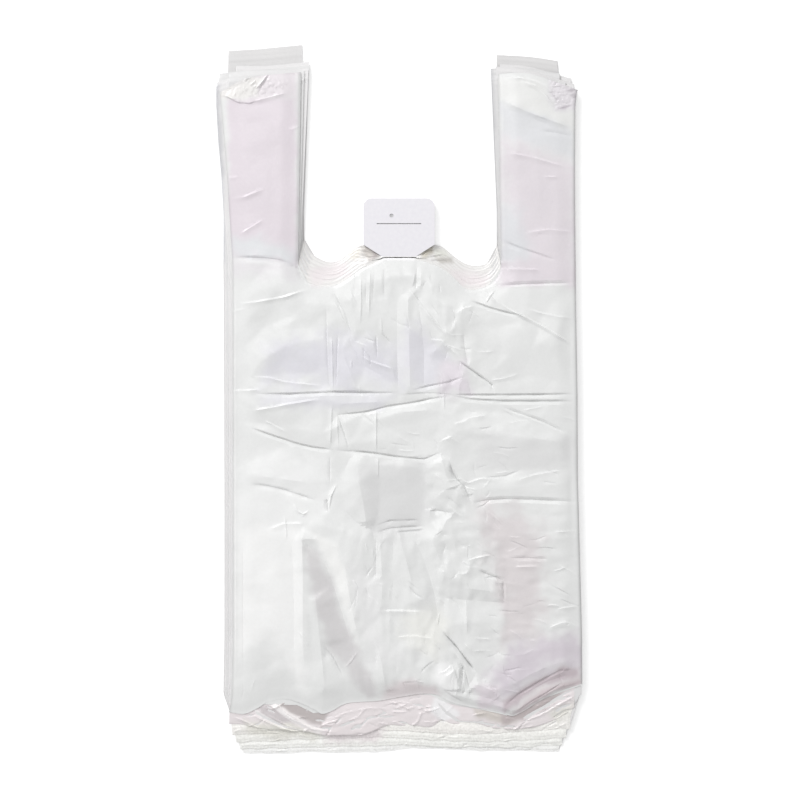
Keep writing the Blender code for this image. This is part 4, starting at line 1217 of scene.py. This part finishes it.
def soften_rim(mesh, at_rim):
    """Takes the sharp edges away where the film turns down at its rim."""
    ends = np.empty(len(mesh.edges) * 2, int)
    mesh.edges.foreach_get("vertices", ends)
    sharp = np.empty(len(mesh.edges), bool)
    mesh.attributes["sharp_edge"].data.foreach_get("value", sharp)
    sharp &= ~at_rim[ends].reshape(-1, 2).any(1)
    mesh.attributes["sharp_edge"].data.foreach_set("value", sharp)


def build_front_wall(bag, material):
    """The front bag's front wall, with its creases."""
    places, triangles = creased_sheet(bag, SHEET_PITCH)
    x, y = places.T
    columns = TAB_COLUMN + (x - TAB_MIDDLE.x) / PHOTO_PIXEL
    rows = to_row(y)
    from_right = bag.side(rows, True) - columns
    inset = np.minimum(columns - bag.side(rows, False), from_right)
    beside = np.minimum(abs(columns - bag.inner(rows, False)), abs(columns - bag.inner(rows, True)))
    inset = np.where(rows < bag.inner_left[1], np.minimum(inset, beside), inset)
    below_mouth = bag.from_mouth(columns, rows)
    from_side = inset * PHOTO_PIXEL / MM
    inset = np.minimum(inset, below_mouth) * PHOTO_PIXEL / MM
    above_base = row_of(bag.base, columns) - rows
    turn = np.interp(columns, BASE_TURN_COLUMNS, BASE_TURNS)
    edge = smooth(inset / RIM) * smooth(above_base * PHOTO_PIXEL / (turn * MM))
    calm = CALM_SHARE + (1 - CALM_SHARE) * smooth((inset - CALM_START) / CALM_REACH)
    relief = front_relief(x, y) * (RIM_RELIEF + (1 - RIM_RELIEF) * edge) * calm
    z = bag.top_of_layer(FRONT_LAYER, columns, rows) + relief
    mesh = film_mesh(bag.name + "_front_wall", x, y, z, triangles, WALL_SHARP)
    soften_rim(mesh, inset < EDGE_INSETS[-1] + 1)
    # Painted shade at the sides, more of it at the right, away from the light, and a painted highlight along the
    # mouth's edge
    shade = 1 - SIDE_DARK * (1 - smooth(from_side / SIDE_DARK_REACH))
    shade = shade + MOUTH_PAINTED_HIGHLIGHT * (1 - smooth(below_mouth * PHOTO_PIXEL / (MOUTH_PAINTED_HIGHLIGHT_REACH * MM)))
    shade = shade - RIGHT_PAINTED_SHADE * (1 - smooth(from_right * PHOTO_PIXEL / MM / RIGHT_PAINTED_SHADE_REACH))
    # Painted shade along narrow valleys and painted highlights along narrow ridges
    shade = shade * crease_painted_light(x, y, WALL_FOLDS)
    tint_film(mesh, x, y, BODY_COLOUR, TINTS_AND_PAINTED_LIGHT, shade[:, None])
    film_piece(mesh, material)


def build_bag(bag, material):
    """One bag as a folded tube of film. The front bag's has no front wall, as that is a piece of its own."""
    ring, wall_size = ring_of(FINE_STEP, COARSE_STEP)
    if bag.front:
        ring = ring[wall_size - 1:] + ring[:1]
    body_rows = round((bag.base[0][1] - LEVEL_ROW) * PIXEL_MM / FINE_STEP)
    mouth_rows = round(MOUTH_REACH / FINE_STEP)
    handle_rows = round(HANDLE_REACH / FINE_STEP)
    counts = (body_rows, mouth_rows, handle_rows)
    lines = [np.column_stack(column_places(bag, flat, *counts)) for flat, _, _ in ring]
    lengths = [len(line) for line in lines]
    starts = np.concatenate(([0], np.cumsum(lengths)))
    columns, rows = np.vstack(lines).T
    layer = np.repeat([each for _, each, _ in ring], lengths)
    offset = np.repeat([each for _, _, each in ring], lengths)
    tips = np.repeat([line[-1, 1] for line in lines], lengths)
    x, y = from_photo(columns, rows)
    x = x + offset * MM
    below_tip = (rows - tips) * PHOTO_PIXEL / MM
    seal = sum(share * np.exp(-((below_tip - depth) / width) ** 2) for depth, width, share in SEALS)
    z = bag.top_of_layer(layer, columns, rows)
    z += np.where((layer == FRONT_LAYER) & (tips < HANDLE_ROW), seal * SEAL_HEIGHT * MM, 0)
    quads = []
    for n in range(len(ring) - 1 if bag.front else len(ring)):
        m = (n + 1) % len(ring)
        here, there = starts[n], starts[m]
        steps = np.arange(min(lengths[n], lengths[m]) - 1)
        quads.append(np.column_stack((here + steps, there + steps, there + steps + 1, here + steps + 1)))
    mesh = film_mesh(bag.name + "_film", x, y, z, np.vstack(quads))
    mesh.validate()
    tint_film(mesh, x, y, FILM_COLOURS[bag.number - 1], FILM_TINTS)
    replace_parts(film_piece(mesh, material), bag.name)


def build_mouth_strip(bag, nearer, material):
    """The rims of a bag's walls along its mouth, where the nearer bag leaves them bare."""
    chosen = np.linspace(0, len(bag.mouth) - 1, MOUTH_POINTS).round().astype(int)
    far = bag.mouth[chosen]
    near = nearer.mouth[chosen] + (0, MOUTH_UNDER)
    share = np.linspace(0, 1, MOUTH_ROWS)[:, None]
    hem = REAR_MOUTH_HEM if bag.number == 1 else MOUTH_HEM
    column = far[:, 0] + (near[:, 0] - far[:, 0]) * share
    row = far[:, 1] - hem + (near[:, 1] - far[:, 1] + hem) * share
    x, y = from_photo(column, row)
    along = np.linspace(0, 1, MOUTH_POINTS)[None, :] + 0 * share
    sway = waves(along, share * 0.01 + 0 * along, 100 + bag.number, 60, 180)
    ridge = 0.5 + 0.5 * np.cos(2 * math.pi * (MOUTH_RIDGES * share + sway + 0.3 * bag.number))
    bare = smooth((1 - share) / MOUTH_RIDGE_END)
    width = np.maximum(np.hypot(*(near - far).T) - MOUTH_UNDER, 1)
    way = (share * (width + MOUTH_UNDER + hem) - hem) / width
    z = bag.swollen(nearer, column, row, way) + ridge * MOUTH_RIDGE * MM * bare
    beside_tab = abs(along - 0.5)
    pleats = sum(height * smooth((end - beside_tab) / fade) for height, end, fade in PLEATS) * MM
    for crease in NECK_FOLDS:
        pleats = pleats + fold(x, y, *crease)
    z = np.minimum(z + np.maximum(pleats, 0) * bare, TAB_HIGH.z)
    # Beyond the mouth's edge the film turns down over the bag's layers
    beyond = (far[:, 1] - row) * PHOTO_PIXEL / MM
    turn = MOUTH_TURN + MOUTH_TURN_SWAY * np.sin(along * 41 + 2 * bag.number)
    z = z - turn * MM * smooth(beyond / MOUTH_TURN_REACH)
    z = np.maximum(z, LEAST_HEIGHT * MM)
    faces = grid_faces(MOUTH_ROWS, MOUTH_POINTS, MOUTH_POINTS, 1)
    mesh = film_mesh(bag.name + "_mouth", x, y, z, faces)
    # A painted highlight on the ridges and painted shade in the valleys
    valley = np.array(MOUTH_VALLEY_SHADE)
    colour = valley + (np.array(MOUTH_RIDGE_HIGHLIGHT) - valley) * ridge.ravel()[:, None]
    tint_film(mesh, x, y, colour, NECK_TINTS_AND_SHADE)
    film_piece(mesh, material)


def build_base_strip(bag, nearer, material):
    """The crimped base of a bag, where the nearer bag leaves it bare. Its edge turns down over the layers."""
    width = bag.base[-1][0] - bag.base[0][0]
    count = round(width * PHOTO_PIXEL / (BASE_COLUMN_STEP * MM))
    edge = spline(bag.base, count)
    wobble_x, _ = from_photo(edge[:, 0], edge[:, 1])
    wobble = waves(wobble_x, wobble_x * 0, 50 + bag.number, BASE_WAVE, BASE_WAVE_HEIGHT) / MM
    edge_row = edge[:, 1] + BASE_EDGE_OUT + wobble
    hem = 0 if bag.number == 1 else BASE_HEM
    edge_row = edge_row + hem
    top_row = np.minimum(row_of(nearer.base, edge[:, 0]) - BASE_UNDER, edge_row - LEAST_BASE)
    row = edge_row + (top_row - edge_row) * np.linspace(0, 1, BASE_ROWS)[:, None]
    left, right = bag.side(row[:, 0], False), bag.side(row[:, 0], True)
    span = (np.tile(edge[:, 0], (BASE_ROWS, 1)) - edge[0, 0]) / (edge[-1, 0] - edge[0, 0])
    column = left[:, None] + span * (right - left)[:, None]
    x, y = from_photo(column, row)
    up = (edge_row - hem - row) * PHOTO_PIXEL / MM
    own_row, next_row = row_of(bag.base, column), row_of(nearer.base, column)
    bare = 1 - smooth((next_row + COVER_ROWS - row) / COVER_FADE)
    crimp = sum(
        facets(x * stretch + y * slant, y, seed + bag.number, spacing, height)
        for stretch, slant, seed, spacing, height in CRIMPS
    )
    crimp *= bare * (FRONT_CRIMP if nearer.front else 1)
    inside = smooth(np.minimum(span, 1 - span) * width * PIXEL_MM / 2)
    z = bag.swollen(nearer, column, row, (own_row - row) / np.maximum(own_row - next_row, 1))
    z = z - BASE_TURN * MM * smooth(-up) + crimp * inside * smooth(up / CRIMP_REACH)
    many, heights = FRONT_BASE_CREASES if nearer.front else REAR_BASE_CREASES
    extra = fine_creases(bag.number, many, BARE_BASES, BASE_CREASE_TURN, BASE_CREASE_SPREAD, heights)
    for crease in BASE_FOLDS + extra:
        z = z + fold(x, y, *crease) * bare
    z = np.maximum(z, LEAST_HEIGHT * MM)
    faces = grid_faces(BASE_ROWS, count, 1, count)
    mesh = film_mesh(bag.name + "_base", x, y, z, faces, BASE_SHARP)
    tint_film(mesh, x, y, BASE_COLOURS[bag.number - 1], BASE_TINTS_AND_PAINTED_LIGHT)
    film_piece(mesh, material)


def add_node(nodes, kind, **inputs):
    """A new shader node with these input values. An underscore stands for a blank in an input's name."""
    node = nodes.new("ShaderNode" + kind)
    for name, value in inputs.items():
        node.inputs[name.replace("_", " ")].default_value = value
    return node


def bumpy_material(name, roughness, cell, grain_size, depth):
    """A white plastic with fine creases between cells and a grain on them."""
    material = bpy.data.materials.new(name)
    material.use_nodes = True
    nodes, links = material.node_tree.nodes, material.node_tree.links
    shader = nodes["Principled BSDF"]
    shader.inputs["Roughness"].default_value = roughness
    place = nodes.new("ShaderNodeTexCoord")
    crumple = add_node(nodes, "TexVoronoi")
    crumple.feature = "DISTANCE_TO_EDGE"
    crumple.inputs["Scale"].default_value = 1 / (cell * MM)
    links.new(place.outputs["Object"], crumple.inputs["Vector"])
    grain = add_node(nodes, "TexNoise", Scale=1 / (grain_size * MM), Detail=4)
    links.new(place.outputs["Object"], grain.inputs["Vector"])
    mixed = nodes.new("ShaderNodeMath")
    mixed.operation = "MULTIPLY_ADD"
    mixed.inputs[1].default_value = 0.5
    links.new(grain.outputs["Fac"], mixed.inputs[0])
    links.new(crumple.outputs["Distance"], mixed.inputs[2])
    bump = add_node(nodes, "Bump", Strength=1, Distance=depth * MM)
    links.new(mixed.outputs[0], bump.inputs["Height"])
    links.new(bump.outputs["Normal"], shader.inputs["Normal"])
    return material, grain


def film_material(name, cell, grain_size, depth, speckle):
    """Thin white film, a little glossy, in the colours that its meshes carry, with faint speckles."""
    material, grain = bumpy_material(name, 0.3, cell, grain_size, depth)
    nodes, links = material.node_tree.nodes, material.node_tree.links
    tint = nodes.new("ShaderNodeAttribute")
    tint.attribute_name = "tint"
    spots = add_node(nodes, "MapRange", From_Min=0.3, From_Max=0.7, To_Min=1 - speckle, To_Max=1 + speckle)
    links.new(grain.outputs["Fac"], spots.inputs["Value"])
    scaled = nodes.new("ShaderNodeVectorMath")
    scaled.operation = "SCALE"
    links.new(tint.outputs["Color"], scaled.inputs[0])
    links.new(spots.outputs["Result"], scaled.inputs["Scale"])
    links.new(scaled.outputs[0], nodes["Principled BSDF"].inputs["Base Color"])
    return material


def tab_material():
    """The tab's stiffer stack of film: whiter and smoother."""
    material, grain = bumpy_material("tab film", 0.35, 9, 3, 0.02)
    nodes, links = material.node_tree.nodes, material.node_tree.links
    ramp = nodes.new("ShaderNodeValToRGB")
    ends = ((0.35, (0.83, 0.815, 0.86, 1)), (0.65, (0.86, 0.845, 0.88, 1)))
    for element, (position, colour) in zip(ramp.color_ramp.elements, ends):
        element.position = position
        element.color = colour
    links.new(grain.outputs["Fac"], ramp.inputs["Fac"])
    links.new(ramp.outputs["Color"], nodes["Principled BSDF"].inputs["Base Color"])
    return material


def make_camera():
    """Looks straight down, with the photograph's scale and centre."""
    data = bpy.data.cameras.new("camera")
    data.lens = 120
    camera = bpy.data.objects.new("camera", data)
    bpy.context.scene.collection.objects.link(camera)
    width = PHOTO_SIZE * PHOTO_PIXEL
    x, y = from_photo(PHOTO_SIZE / 2, PHOTO_SIZE / 2)
    camera.location = (x, y, width * data.lens / data.sensor_width + FILM_LEVEL * MM)
    bpy.context.scene.camera = camera


def make_light(name, place, size, power):
    """A soft lamp that faces the middle of the bag."""
    data = bpy.data.lights.new(name, "AREA")
    data.shape = "RECTANGLE"
    data.size, data.size_y = size
    data.energy = power
    lamp = bpy.data.objects.new(name, data)
    bpy.context.scene.collection.objects.link(lamp)
    lamp.location = place
    lamp.rotation_mode = "QUATERNION"
    lamp.rotation_quaternion = (-Vector(place)).to_track_quat("-Z", "Y")


def make_stage():
    """A white floor that keeps a faint shadow, and an even white sky."""
    bpy.ops.mesh.primitive_plane_add(size=6, location=(0, 0, -FLOOR_DROP * MM))
    floor = bpy.context.object
    floor.name = "floor"
    material = bpy.data.materials.new("floor")
    material.use_nodes = True
    nodes, links = material.node_tree.nodes, material.node_tree.links
    shader = nodes["Principled BSDF"]
    shader.inputs["Base Color"].default_value = (0.8, 0.8, 0.8, 1)
    shader.inputs["Roughness"].default_value = 1
    shader.inputs["Specular IOR Level"].default_value = 0
    rays = nodes.new("ShaderNodeLightPath")
    glow = nodes.new("ShaderNodeMath")
    glow.operation = "MULTIPLY"
    glow.inputs[1].default_value = FLOOR_GLOW
    links.new(rays.outputs["Is Camera Ray"], glow.inputs[0])
    shader.inputs["Emission Color"].default_value = (1, 1, 1, 1)
    links.new(glow.outputs[0], shader.inputs["Emission Strength"])
    floor.data.materials.append(material)
    world = bpy.data.worlds.new("sky")
    bpy.context.scene.world = world
    world.use_nodes = True
    background = world.node_tree.nodes["Background"]
    background.inputs["Color"].default_value = (1, 1, 1, 1)
    background.inputs["Strength"].default_value = SKY_LIGHT


def main():
    bpy.context.scene.view_settings.view_transform = "Standard"
    film = film_material("film", 7, 2.4, 0.06, 0.012)
    crimped = film_material("crimped film", 2.2, 1.7, 0.16, 0.09)
    bags = [Bag(number) for number in range(1, BAG_COUNT + 1)]
    for bag in bags:
        build_bag(bag, film)
    build_front_wall(bags[-1], film)
    for bag, nearer in zip(bags, bags[1:]):
        build_base_strip(bag, nearer, film if nearer.front else crimped)
        build_mouth_strip(bag, nearer, film)
    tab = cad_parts["header_tab"]
    tab.data.materials.clear()
    tab.data.materials.append(tab_material())
    make_stage()
    make_camera()
    make_light("key", (-2.1, 2.7, 2.1), (2.2, 1.8), 104)
    make_light("sheen", (-0.25, 0.6, 1.9), (0.5, 0.3), 3)


main()
